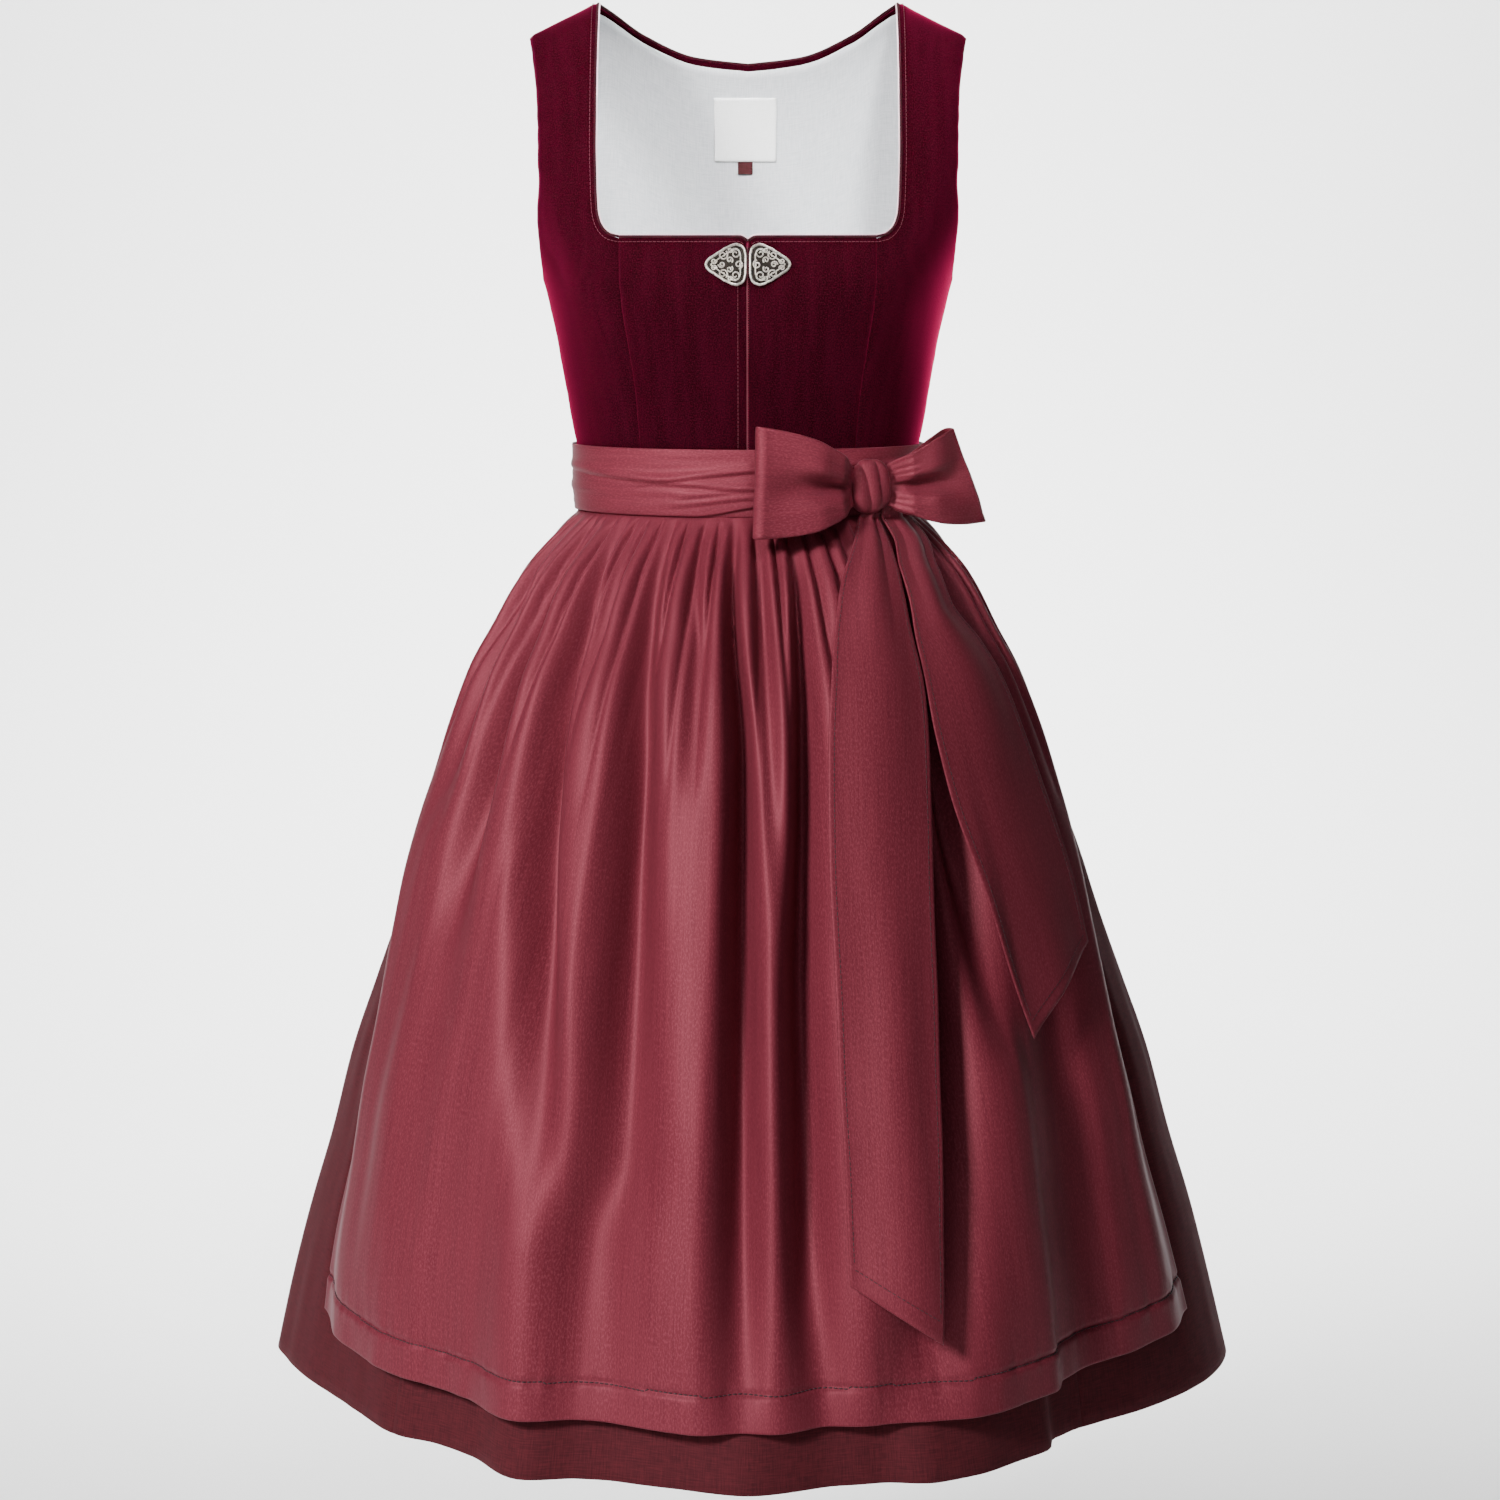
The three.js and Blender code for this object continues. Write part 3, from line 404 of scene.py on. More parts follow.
def flat_size(outer: Array) -> tuple[float, float, float]:
    """The cut of a cloth: its greatest width and length and its area.

    Args:
        outer: The cloth's outer face, as rows of places.

    Returns:
        The width and the length in metres and the area in square metres.
    """
    width = np.linalg.norm(np.diff(outer, axis=1), axis=-1).sum(axis=1).max()
    length = np.linalg.norm(np.diff(outer, axis=0), axis=-1).sum(axis=0).max()
    first = np.cross(outer[1:, :-1] - outer[:-1, :-1], outer[:-1, 1:] - outer[:-1, :-1])
    second = np.cross(outer[:-1, 1:] - outer[1:, 1:], outer[1:, :-1] - outer[1:, 1:])
    area = (np.linalg.norm(first, axis=-1).sum() + np.linalg.norm(second, axis=-1).sum()) / 2
    return width * MM, length * MM, min(area, width * length) * MM * MM


# Materials.


def linear(hex_colour: str) -> tuple[float, float, float, float]:
    """Turns an sRGB hex colour to the linear values that a shader takes.

    Args:
        hex_colour: Six hex digits.

    Returns:
        Red, green, blue and an alpha of 1.
    """
    parts = [int(hex_colour[i : i + 2], 16) / 255 for i in (0, 2, 4)]
    red, green, blue = (p / 12.92 if p <= 0.04045 else ((p + 0.055) / 1.055) ** 2.4 for p in parts)
    return red, green, blue, 1.0


def add_node(tree: Tree, kind: str, links: dict | None = None, **settings: object) -> Node:
    """Adds a node to a material.

    Args:
        tree: The material's node tree.
        kind: The node's type.
        links: A socket or a plain value for each input, by name or number.
        settings: Values of the node's own properties.

    Returns:
        The node.
    """
    node = tree.nodes.new(kind)
    for name, value in settings.items():
        setattr(node, name, value)
    for name, value in (links or {}).items():
        if isinstance(value, Socket):
            tree.links.new(value, node.inputs[name])
        else:
            node.inputs[name].default_value = value
    return node


@dataclass(frozen=True)
class Finish:
    """What all finishes share: the shader's plain values and the making of the material."""

    label: str
    slot: str
    colour: str
    roughness: float = 0.8
    metallic: float = 0.0
    sheen: float = 0.0
    sheen_colour: str = "ffffff"
    sheen_roughness: float = 0.5
    specular: float = 0.5
    specular_colour: str = "ffffff"

    def pattern(self, tree: Tree, shader: Node) -> None:
        """Adds what varies over the surface; the plain finish has nothing."""

    def material(self) -> bpy.types.Material:
        """The finish's material, made once.

        Returns:
            The material.
        """
        found = bpy.data.materials.get(self.label)
        if found:
            return found
        made = bpy.data.materials.new(self.label)
        made.use_nodes = True
        tree = made.node_tree
        tree.nodes.clear()
        values = {
            "Base Color": linear(self.colour),
            "Roughness": self.roughness,
            "Metallic": self.metallic,
            "Specular IOR Level": self.specular,
            "Specular Tint": linear(self.specular_colour),
            "Sheen Weight": self.sheen,
            "Sheen Tint": linear(self.sheen_colour),
            "Sheen Roughness": self.sheen_roughness,
        }
        shader = add_node(tree, "ShaderNodeBsdfPrincipled", values)
        add_node(tree, "ShaderNodeOutputMaterial", {"Surface": shader.outputs["BSDF"]})
        self.pattern(tree, shader)
        return made

    def noise(self, tree: Tree, across: float, along: float, detail: float = 2.0) -> Socket:
        """A soft random pattern that follows the threads.

        Args:
            tree: The material's node tree.
            across: Size of one speck across the threads, in mm.
            along: Size of one speck along the threads, in mm.
            detail: How many finer sizes are added.

        Returns:
            The socket with values round 0.5.
        """
        place = add_node(tree, "ShaderNodeUVMap", uv_map=THREADS)
        scale = (1000 / across, 1000 / along, 1)
        links = {0: place.outputs["UV"], 1: scale}
        scaled = add_node(tree, "ShaderNodeVectorMath", links, operation="MULTIPLY")
        links = {"Vector": scaled.outputs[0], "Scale": 1.0, "Detail": detail, "Roughness": 0.6}
        return add_node(tree, "ShaderNodeTexNoise", links, noise_dimensions="2D").outputs["Fac"]

    def blend(
        self, tree: Tree, share: Socket, low: float, high: float, first: object, second: object
    ) -> Socket:
        """A colour between two, by where a pattern's value lies between low and high.

        Args:
            tree: The material's node tree.
            share: The pattern's socket.
            low: The value that gives the first colour.
            high: The value that gives the second colour.
            first: A hex colour or a colour socket.
            second: A hex colour or a colour socket.

        Returns:
            The colour's socket.
        """
        links = {"Value": share, "From Min": low, "From Max": high}
        ranged = add_node(tree, "ShaderNodeMapRange", links, clamp=True)
        colours = [linear(c) if isinstance(c, str) else c for c in (first, second)]
        links = {0: ranged.outputs["Result"], 6: colours[0], 7: colours[1]}
        return add_node(tree, "ShaderNodeMix", links, data_type="RGBA").outputs[2]

    def emboss(self, tree: Tree, shader: Node, height: Socket, deep: float, strength: float) -> None:
        """Raises a pattern by a depth in mm.

        Args:
            tree: The material's node tree.
            shader: The material's shader.
            height: The pattern's socket.
            deep: How deep it goes, in mm.
            strength: How strongly it shows, from 0 to 1.
        """
        links = {"Height": height, "Distance": deep * MM, "Strength": strength}
        bump = add_node(tree, "ShaderNodeBump", links)
        tree.links.new(bump.outputs["Normal"], shader.inputs["Normal"])


@dataclass(frozen=True)
class CutVelvet(Finish):
    """Cotton velvet with a short cut pile, woven double and cut apart.

    The pile swallows light that falls on it straight and shines where it is seen at a slant, so the
    middle of the bodice is nearly black red and its sides are bright.
    """

    # dark and the velvet's own colour are the two ends of the painted sheen patches where the pile leans
    dark: str = "110205"
    bright: str = "3c0816"

    def pattern(self, tree: Tree, shader: Node) -> None:
        """Paints the sheen of leaning pile as long soft patches of darker and lighter base colour, with a
        fine grain of tufts.

        Tufts stand 0.4 mm apart; they are drawn 0.9 mm apart so that they show.

        Args:
            tree: The material's node tree.
            shader: The material's shader.
        """
        tufts = self.noise(tree, 0.9, 1.1, 1)
        sheen_patches = self.noise(tree, 9, 55, 3)
        # Painted sheen: the leaning patches swing the base colour between dark and the velvet's colour
        soft = self.blend(tree, sheen_patches, 0.35, 0.65, self.dark, self.colour)
        colour = self.blend(tree, tufts, 0.35, 0.9, soft, self.bright)
        tree.links.new(colour, shader.inputs["Base Color"])
        self.emboss(tree, shader, tufts, 0.25, 0.35)


@dataclass(frozen=True)
class SlubSatin(Finish):
    """Polyester satin with slubs, woven with the long threads on top.

    The threads run down the cloth: they give soft bright ridges and a fine upright streak.
    """

    dark: str = "4c1721"
    bright: str = "74323e"

    def pattern(self, tree: Tree, shader: Node) -> None:
        """Draws the long threads, with thicker slubs here and there.

        Threads lie 0.1 mm apart; their grain is drawn 0.9 mm wide so that it shows.

        Args:
            tree: The material's node tree.
            shader: The material's shader.
        """
        grain = self.noise(tree, 0.9, 2.4, 2)
        streaks = self.noise(tree, 1.6, 60, 2)
        ground = self.blend(tree, streaks, 0.1, 0.9, self.dark, self.colour)
        colour = self.blend(tree, grain, 0.45, 0.95, ground, self.bright)
        tree.links.new(colour, shader.inputs["Base Color"])
        self.emboss(tree, shader, grain, 0.05, 0.2)


@dataclass(frozen=True)
class WovenCloth(Finish):
    """Plain or twill cloth, spun and woven: dull, with a fine crossing of threads."""

    dark: str = "000000"
    across: float = 0.9
    along: float = 0.9
    deep: float = 0.1

    def pattern(self, tree: Tree, shader: Node) -> None:
        """Draws the threads both ways, as coarse as they need to be to show.

        Args:
            tree: The material's node tree.
            shader: The material's shader.
        """
        warp = self.noise(tree, self.across, self.along * 14, 2)
        weft = self.noise(tree, self.across * 14, self.along, 2)
        both = add_node(tree, "ShaderNodeMath", {0: warp, 1: weft}, operation="ADD").outputs[0]
        colour = self.blend(tree, both, 0.7, 1.3, self.dark, self.colour)
        tree.links.new(colour, shader.inputs["Base Color"])
        self.emboss(tree, shader, both, self.deep, 0.3)


@dataclass(frozen=True)
class PlatedMetal(Finish):
    """Cast zinc with silver plating, blackened and wiped: bright ridges, dark hollows."""

    dark: str = "3a3733"

    def pattern(self, tree: Tree, shader: Node) -> None:
        """Leaves the blackening in soft spots about 1 mm wide.

        Args:
            tree: The material's node tree.
            shader: The material's shader.
        """
        spots = self.noise(tree, 1.1, 1.1, 3)
        colour = self.blend(tree, spots, 0.25, 0.55, self.dark, self.colour)
        tree.links.new(colour, shader.inputs["Base Color"])
        self.emboss(tree, shader, spots, 0.08, 0.3)


VELVET = CutVelvet(
    "wine_cut_velvet", "velvet", "1e030a", 0.95,
    sheen=1.0, sheen_colour="d42a64", sheen_roughness=0.36, specular=0.0,
)  # fmt: skip
SATIN = SlubSatin("burgundy_slub_satin", "satin", "5f222c", 0.56, specular=0.46, specular_colour="ff96a4")
TWILL = WovenCloth(
    "burgundy_twill", "skirt", "4a161d", 0.85, sheen=0.08, sheen_colour="c06070", specular=0.15, dark="360f15"
)
BATISTE = WovenCloth("white_cotton_batiste", "lining", "d9dadd", 0.9, specular=0.2, dark="c4c7cb")
PIPING = WovenCloth("dark_bias_piping", "piping", "3a0d18", 0.85, specular=0.2, dark="22060d")
ZIP_TAPE = WovenCloth("wine_zip_tape", "zip_tape", "5b1226", 0.85, specular=0.2, dark="3c0a18")
LABEL = WovenCloth(
    "white_woven_label", "label", "ffffff", 0.7, specular=0.3, dark="f6f6f5", across=0.6, along=0.6
)
TAB = WovenCloth("brown_woven_tab", "tab", "4a1a20", 0.7, specular=0.3, dark="35110f", across=0.6, along=0.6)
SILVER = PlatedMetal("antique_silver_plate", "clasp", "bdb6ac", 0.38, metallic=1.0)
BLACKENED = PlatedMetal("blackened_silver_plate", "clasp", "26221f", 0.55, metallic=1.0, dark="0c0b0a")
PALE_EDGE = WovenCloth("pale_lining_edge", "lining", "f2d6dc", 0.8, specular=0.2, dark="e2bcc6")
# The rose cord at the zip slit: a painted highlight standing in for the light on the velvet's folded edges
ROSE_SLIT_HIGHLIGHT = WovenCloth("rose_painted_slit_highlight", "zip_tape", "7e2a3c", 0.6, dark="581a28", across=0.3, along=0.3)
WINE_THREAD = WovenCloth("wine_sewing_thread", "velvet", "5a0a20", 0.7, dark="3a0414", across=0.3, along=0.3)
BURGUNDY_THREAD = WovenCloth(
    "burgundy_sewing_thread", "satin", "33101a", 0.6, dark="200a10", across=0.3, along=0.3
)


def dress(piece: Piece, finish: Finish, *nodes: str) -> Piece:
    """Gives a piece its finish and its place in the frame.

    Args:
        piece: The piece.
        finish: Its finish.
        nodes: The solids that it stands for.

    Returns:
        The piece.
    """
    piece.data.materials.append(finish.material())
    if nodes:
        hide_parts(*nodes)
    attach(piece, "root")
    log.info("%s: %d faces, %s", piece.name, len(piece.data.polygons), finish.label)
    return piece


def hang(
    name: str, faces: tuple[Array, Array], finish: Finish, node: str,
    gathered: bool = False, ring: bool = False, crosswise: bool = False,
) -> Piece:  # fmt: skip
    """Makes a cloth that stands for a solid.

    Args:
        name: The piece's name.
        faces: Its outer and inner faces, as rows of places.
        finish: Its finish.
        node: The solid.
        gathered: Whether the cloth is as wide in every row.
        ring: Whether its rows close on themselves.
        crosswise: Whether its threads run along its rows.

    Returns:
        The piece.
    """
    threads = thread_places(faces[0], gathered)
    piece = cloth_piece(name, *faces, threads[..., ::-1] if crosswise else threads, ring)
    return dress(piece, finish, node)


def sew(name: str, finish: Finish, *lines: tuple[Array, Array], pitch: float, thick: float) -> Piece:
    """Makes stitches along lines.

    Args:
        name: The piece's name.
        finish: The thread's finish.
        lines: Each line's places and outward directions.
        pitch: Distance from one stitch to the next.
        thick: The thread's radius.

    Returns:
        The piece.
    """
    sewn = Parts()
    for path, up in lines:
        sewn.stitches(path, up, pitch, thick)
    return dress(sewn.piece(name), finish)


# The worn form.


class Side(Enum):
    """A side of the model: left is -x, the wearer's right."""

    LEFT = -1
    RIGHT = 1


class Form:
    """The shapes that every cloth lies on, in the same numbers as the solids."""

    waist = -335.0
    neckline = -159.0
    underarm = -188.0
    back_seam_top = -112.0
    skirt_hem = -948.0
    neck_half = 103.0
    wave_start = -430.0

    # drop, half width, front depth, back depth
    torso_rows: Rows = [
        [0, 155, 0.8, 0.8], [2, 155, 14, 13], [6, 155, 24, 23], [14, 155, 37, 36],
        [30, 155.5, 56, 52], [60, 157, 79, 70], [100, 158, 98, 84], [135, 155.5, 109, 92],
        [160, 150, 115, 96], [188, 141, 119, 98], [225, 132.5, 113, 94], [262, 126, 101, 88],
        [290, 121, 93, 83], [305, 118.2, 90, 81], [335, 115.5, 88, 79],
    ]  # fmt: skip
    # level, half width, front depth, back depth, how much the diagonals draw in
    skirt_rows: Rows = [
        [-335, 116.3, 88.7, 80, 0], [-346, 116.6, 89, 80.4, 0],
        [-350, 121, 93, 85, 0], [-357, 128, 100, 94, 0],
        [-367, 136, 108, 102, 0.002], [-394, 152, 124, 118, 0.006], [-422, 165, 137, 131, 0.009],
        [-454, 182, 154, 148, 0.013], [-488, 197, 169, 163, 0.017], [-519, 209, 181, 175, 0.021],
        [-554, 223, 195, 189, 0.025], [-586, 235, 207, 201, 0.029], [-620, 246, 218, 212, 0.033],
        [-681, 267, 239, 233, 0.04], [-727, 283, 255, 249, 0.045], [-785, 299, 271, 265, 0.052],
        [-837, 315, 287, 281, 0.059], [-886, 328, 300, 294, 0.064], [-948, 343, 315, 309, 0.071],
    ]  # fmt: skip
    # angle, how far the cloth stands out at the hem
    hem_rows: Rows = [
        [-180, -2], [-166, -12], [-152, 2], [-139, -13], [-125, 1], [-111, -12], [-98, -2], [-90, -4],
        [-83, -12], [-75, -16], [-67, -17], [-60, -13], [-47, 0], [-41, -6], [-34.6, -2.5], [-26, 16],
        [-19.3, -5], [-14.9, -9.5], [-8.6, -7.5], [0, 2], [9.9, -9.5], [14.9, -6.7], [21.4, 8], [26, 8.3],
        [33, 2.5], [38.4, -1], [42, -15], [47.4, -18], [58.4, -12], [69.7, -6], [80, -2], [90, 1],
        [101, -12], [113, 0], [126, -13], [140, 1], [154, -14], [168, 0], [180, -2],
    ]  # fmt: skip
    gather_rows: Rows = [[-335, 0], [-347, 1], [-360, 3], [-385, 5], [-440, 5], [-560, 2.5], [-700, 0]]
    # level, how far the apron's valleys press the skirt in
    sink_rows: Rows = [
        [-335, 0], [-346, 0.5], [-356, 5], [-400, 6], [-470, 8],
        [-560, 11], [-800, 13], [-870, 6], [-915, 0], [-948, 0],
    ]  # fmt: skip
    skirt_gathers = 30
    bust_out = 7.0
    bust_angle, bust_angle_reach = 38.0, 24.0
    bust_level, bust_level_reach = -195.0, 45.0
    shoulder_slope = 0.49
    shoulder_deep = 150.0
    waist_half, waist_depth = 115.5, 88.0

    def __init__(self) -> None:
        """Makes the curves of the tables."""
        by_root = [[math.sqrt(row[0]), *row[1:]] for row in self.torso_rows]
        self.torso_half, self.torso_front, self.torso_back = curves(by_root)
        self.half, self.front, self.back, self.draw = curves(self.skirt_rows)
        self.hem = Curve(self.hem_rows)
        self.gather = Curve(self.gather_rows)
        self.sink = Curve(self.sink_rows)

    def torso(self, angle: Array, level: Array) -> Array:
        """The outside of the bodice.

        Args:
            angle: The angle of each place.
            level: The level of each place.

        Returns:
            The places.
        """
        angle, level = np.broadcast_arrays(np.asarray(angle, float), np.asarray(level, float))
        turn = angle * DEGREE
        root = np.sqrt(np.maximum(0, -level))
        beside = (np.abs(angle) - self.bust_angle) / self.bust_angle_reach
        bust = self.bust_out * bell(beside) * bell((level - self.bust_level) / self.bust_level_reach)
        depth = np.where(np.cos(turn) > 0, self.torso_front(root), self.torso_back(root))
        x = (self.torso_half(root) + bust) * np.sin(turn)
        y = -(depth + bust) * np.cos(turn)
        fall = self.shoulder_slope * np.maximum(0, np.abs(x) - self.neck_half)
        return np.stack([x, y, level - fall * np.clip(1 + level / self.shoulder_deep, 0, 1)], -1)

    def skirt_plan(self, angle: Array, level: Array, out: Array | float) -> Array:
        """A place on the skirt's plan, moved out square to it.

        Args:
            angle: The angle of each place.
            level: The level of each place.
            out: How far each place is moved out.

        Returns:
            The places.
        """
        angle, level = np.broadcast_arrays(np.asarray(angle, float), np.asarray(level, float))
        turn = angle * DEGREE
        half = self.half(level)
        depth = np.where(np.cos(turn) > 0, self.front(level), self.back(level))
        drawn = 1 - self.draw(level) * np.sin(2 * turn) ** 2
        side = unit(np.stack([np.sin(turn) / half, -np.cos(turn) / depth], -1))
        x = half * np.sin(turn) * drawn + side[..., 0] * out
        y = -depth * np.cos(turn) * drawn + side[..., 1] * out
        return np.stack([x, y, level], -1)

    def wave(self, angle: Array, level: Array) -> Array:
        """How far the skirt's waves stand out."""
        share = np.clip((self.wave_start - level) / (self.wave_start - self.skirt_hem), 0, 1) ** 1.3
        return self.hem(angle - 360 * np.round(angle / 360)) * share

    def skirt(self, angle: Array, level: Array) -> Array:
        """The skirt, with its gathers."""
        gather = 0.5 - 0.5 * np.cos(self.skirt_gathers * angle * DEGREE)
        return self.skirt_plan(angle, level, self.wave(angle, level) - self.gather(level) * gather)

    def around_waist(self, angle: Array, level: Array, out: Array | float) -> Array:
        """A place on a band round the waist, standing off the bodice.

        Args:
            angle: The angle of each place.
            level: The level of each place.
            out: How far each place stands off the bodice.

        Returns:
            The places.
        """
        place = self.torso(angle, np.maximum(level, self.waist))
        turn = np.asarray(angle) * DEGREE
        ahead = -np.cos(turn) / self.waist_depth + 0 * place[..., 0]
        side = unit(np.stack([np.sin(turn) / self.waist_half, ahead], -1))
        x, y = place[..., 0] + side[..., 0] * out, place[..., 1] + side[..., 1] * out
        return np.stack([x, y, level + 0 * x], -1)

    def angle_of_x(self, x: Array, level: Array) -> Array:
        """The angle of a distance from the middle plane on the bodice."""
        half = self.torso_half(np.sqrt(np.maximum(0, -np.asarray(level, float))))
        return np.arcsin(np.clip(x / half, -1, 1)) / DEGREE

    def bodice_line(self, x: Array | float, level: Array) -> tuple[Array, Array]:
        """The places and outward directions of a line on the bodice's front."""
        angle = self.angle_of_x(x, level)
        return self.torso(angle, level), normals(self.torso, angle, level)


FORM = Form()


def angle_for(surface: Surface, angle: Array, level: Array, distance: float) -> Array:
    """The angle that moves a place by a distance along its row."""
    ahead, behind = surface(angle + 0.5, level), surface(angle - 0.5, level)
    return distance / np.linalg.norm(ahead - behind, axis=-1)


def lay(
    surface: Surface, angle: Array, level: Array, thick: float,
    relief: Array | float = 0.0, step: tuple = STEP,
) -> tuple[Array, Array, Array]:  # fmt: skip
    """Lays cloth on a surface.

    Args:
        surface: The shape it lies on.
        angle: First coordinate of each place.
        level: Second coordinate of each place.
        thick: The cloth's thickness.
        relief: How far each place is moved out.
        step: How far to either side the slope is measured.

    Returns:
        The outer face, the inner face and the outward directions.
    """
    out = normals(surface, angle, level, step)
    outer = surface(angle, level) + out * np.asarray(relief)[..., None]
    return outer, outer - out * thick, out


def mirrored(edge: Callable) -> Callable:
    """The same edge on the other side of the body."""
    return lambda level: -edge(level)


# The bodice.


@dataclass
class Bodice:
    """The velvet panels, their lining, and the trim of the neck."""

    thick: float = 1.2
    lining_thick: float = 0.8
    layer_gap: float = 0.45
    seam_gap: float = 0.3
    seam_dip: float = 1.0
    seam_width: float = 2.2
    front_slit: float = 1.5
    notch_deep: float = 3.2
    notch_half: float = 5.0
    swell: Swell = Swell(0.35, 13, 42, 3)
    pucker: Swell = Swell(0.3, 1, 6.5, 4)
    pucker_reach: float = 7.0
    lining_swell: Swell = Swell(0.45, 3.4, 34, 8)
    lining_inset: float = 0.9
    lining_top: float = -4.0
    side_back_top: float = -114.0
    piping_radius: float = 0.9
    princess_rows: Rows = ((-335, 72), (-290, 74), (-225, 79), (-159, 84))
    neck_rows: Rows = (
        (-159, 84), (-158.3, 88), (-156.3, 92), (-152.8, 95.6), (-148, 98.4), (-141, 100.4),
        (-124, 102), (-95, 103), (0, 103),
    )  # fmt: skip
    armhole_rows: Rows = (
        (-188, 90), (-184, 83.5), (-178, 79), (-168, 74.8), (-150, 70), (-110, 64.8), (-60, 66.5),
        (-20, 72), (0, 75.2),
    )  # fmt: skip
    back_seam_rows: Rows = (
        (-335, 154), (-290, 151), (-235, 144), (-188, 134), (-150, 124), (-112, 115.4),
    )  # fmt: skip
    back_neck_rows: Rows = ((0, 39), (37, 34.7), (73, 20), (94, 5.7), (103, 0))

    def __post_init__(self) -> None:
        """Makes the curves of the seams."""
        self.princess, self.neck_side = Curve(self.princess_rows), Curve(self.neck_rows)
        self.armhole, self.back_seam = Curve(self.armhole_rows), Curve(self.back_seam_rows)
        self.back_neck = Curve(self.back_neck_rows)

    def front_seam(self, level: Array) -> Array:
        """The princess seam, and the side of the neck above it."""
        x = np.where(level > FORM.neckline, self.neck_side(level), self.princess(level))
        return FORM.angle_of_x(x, level)

    def side_edge(self, level: Array) -> Array:
        """The side seam, and the armhole above it."""
        return np.where(level > FORM.underarm, self.armhole(level), 90.0)

    def back_side(self, level: Array) -> Array:
        """The side edge of the back."""
        return np.where(level > FORM.underarm, 180 - self.armhole(level), 90.0)

    def back_edge(self, level: Array) -> Array:
        """The back's own edge: its seam, and the armhole above it."""
        return np.where(level > FORM.back_seam_top, self.back_side(level), self.back_seam(level))

    def levels(self, low: float, high: float, count: int) -> Array:
        """Levels from low to high, close together near the shoulder line.

        Args:
            low: The lowest level.
            high: The highest level.
            count: How many levels.

        Returns:
            The levels, from the lowest up.
        """
        roots = np.linspace(math.sqrt(-low), math.sqrt(-high), count)
        even = np.linspace(low, high, count)
        return mix(even, -roots * roots, smooth(-120, 0, even))

    def panel(
        self, levels: Array, left: Callable, right: Callable, columns: int, inset: float
    ) -> tuple[Array, Array]:
        """The places of a panel between two edges.

        Args:
            levels: The level of each row.
            left: Gives the left edge's angle at a level.
            right: Gives the right edge's angle at a level.
            columns: How many places a row has.
            inset: How far the panel stays inside its edges.

        Returns:
            The angle and the level of each place.
        """
        start = left(levels) + angle_for(FORM.torso, left(levels), levels, inset)
        end = right(levels) - angle_for(FORM.torso, right(levels), levels, inset)
        share = np.linspace(0, 1, columns)[None]
        return mix(start[:, None], end[:, None], share), levels[:, None] + 0 * share

    def relief(self, outer: Array, top: bool) -> Array:
        """How the velvet dips to its seams and edges, with soft swells between.

        Args:
            outer: The panel's places.
            top: Whether its top edge dips too.

        Returns:
            How far each place is moved out.
        """
        left, up = run(outer, 1), run(outer, 0)
        right, below = left[:, -1:] - left, up[-1:] - up
        dip = bell(left / self.seam_width) + bell(right / self.seam_width)
        dip = np.maximum(dip, top * bell(below / self.seam_width))
        x, z = outer[..., 0], outer[..., 2]
        near = bell(left / self.pucker_reach) + bell(right / self.pucker_reach)
        return self.swell(x, z) + self.pucker(0 * x, z) * near - self.seam_dip * np.minimum(dip, 1)

    def notch(self, x: Array) -> Array:
        """How far the neckline dips at the top of the slit."""
        return self.notch_deep * np.clip(1 - x / self.notch_half, 0, 1) ** 1.4

    def velvet(self, name: str, angle: Array, level: Array, top: bool) -> None:
        """Makes one velvet panel.

        Args:
            name: The solid that it stands for.
            angle: The angle of each place.
            level: The level of each place.
            top: Whether its top edge dips too.
        """
        relief = self.relief(FORM.torso(angle, level), top)
        outer, inner, _ = lay(FORM.torso, angle, level, self.thick, relief)
        piece = hang(f"velvet_{name}", (outer, inner), VELVET, name)
        width, length, area = flat_size(outer)

    def lining(self, name: str, angle: Array, level: Array) -> None:
        """Makes one panel of the lining, inside the velvet.

        Args:
            name: The solid that it stands for.
            angle: The angle of each place.
            level: The level of each place.
        """
        depth = self.thick + self.layer_gap
        relief = -depth - self.lining_swell.height + self.lining_swell(angle + 0.03 * level, level)
        outer, inner, _ = lay(FORM.torso, angle, level, self.lining_thick, relief)
        piece = hang(f"cotton_{name}", (outer, inner), BATISTE, name)
        width, length, area = flat_size(outer)

    def back_places(self, low: Array, columns: int, drop_shares: Array) -> tuple[Array, Array]:
        """The places of the back, whose top follows the scooped neckline.

        Args:
            low: The level of the lowest row.
            columns: Number of columns.
            drop_shares: From 1 at the lowest row to 0 at the top.

        Returns:
            The angle and the level of each place.
        """
        share = np.linspace(0, 1, columns)
        top = np.zeros(columns)
        for _ in range(60):
            x = np.abs(FORM.torso(self.back_angle(share, -top), -top)[..., 0])
            top = mix(top, np.where(x < FORM.neck_half, self.back_neck(x), 0), 0.5)
        level = -(top[None] + drop_shares[:, None] * (-low - top[None]))
        return self.back_angle(share[None] + 0 * level, level), level

    def back_angle(self, share: Array, level: Array) -> Array:
        """The angle of a share of the way across the back.

        Args:
            share: From 0 at the wearer's left edge to 1 at the right one.
            level: The level of each place.

        Returns:
            The angle of each place.
        """
        edge = self.back_edge(level)
        start = edge + angle_for(FORM.torso, edge, level, self.seam_gap / 2)
        return mix(start, 360 - start, share)

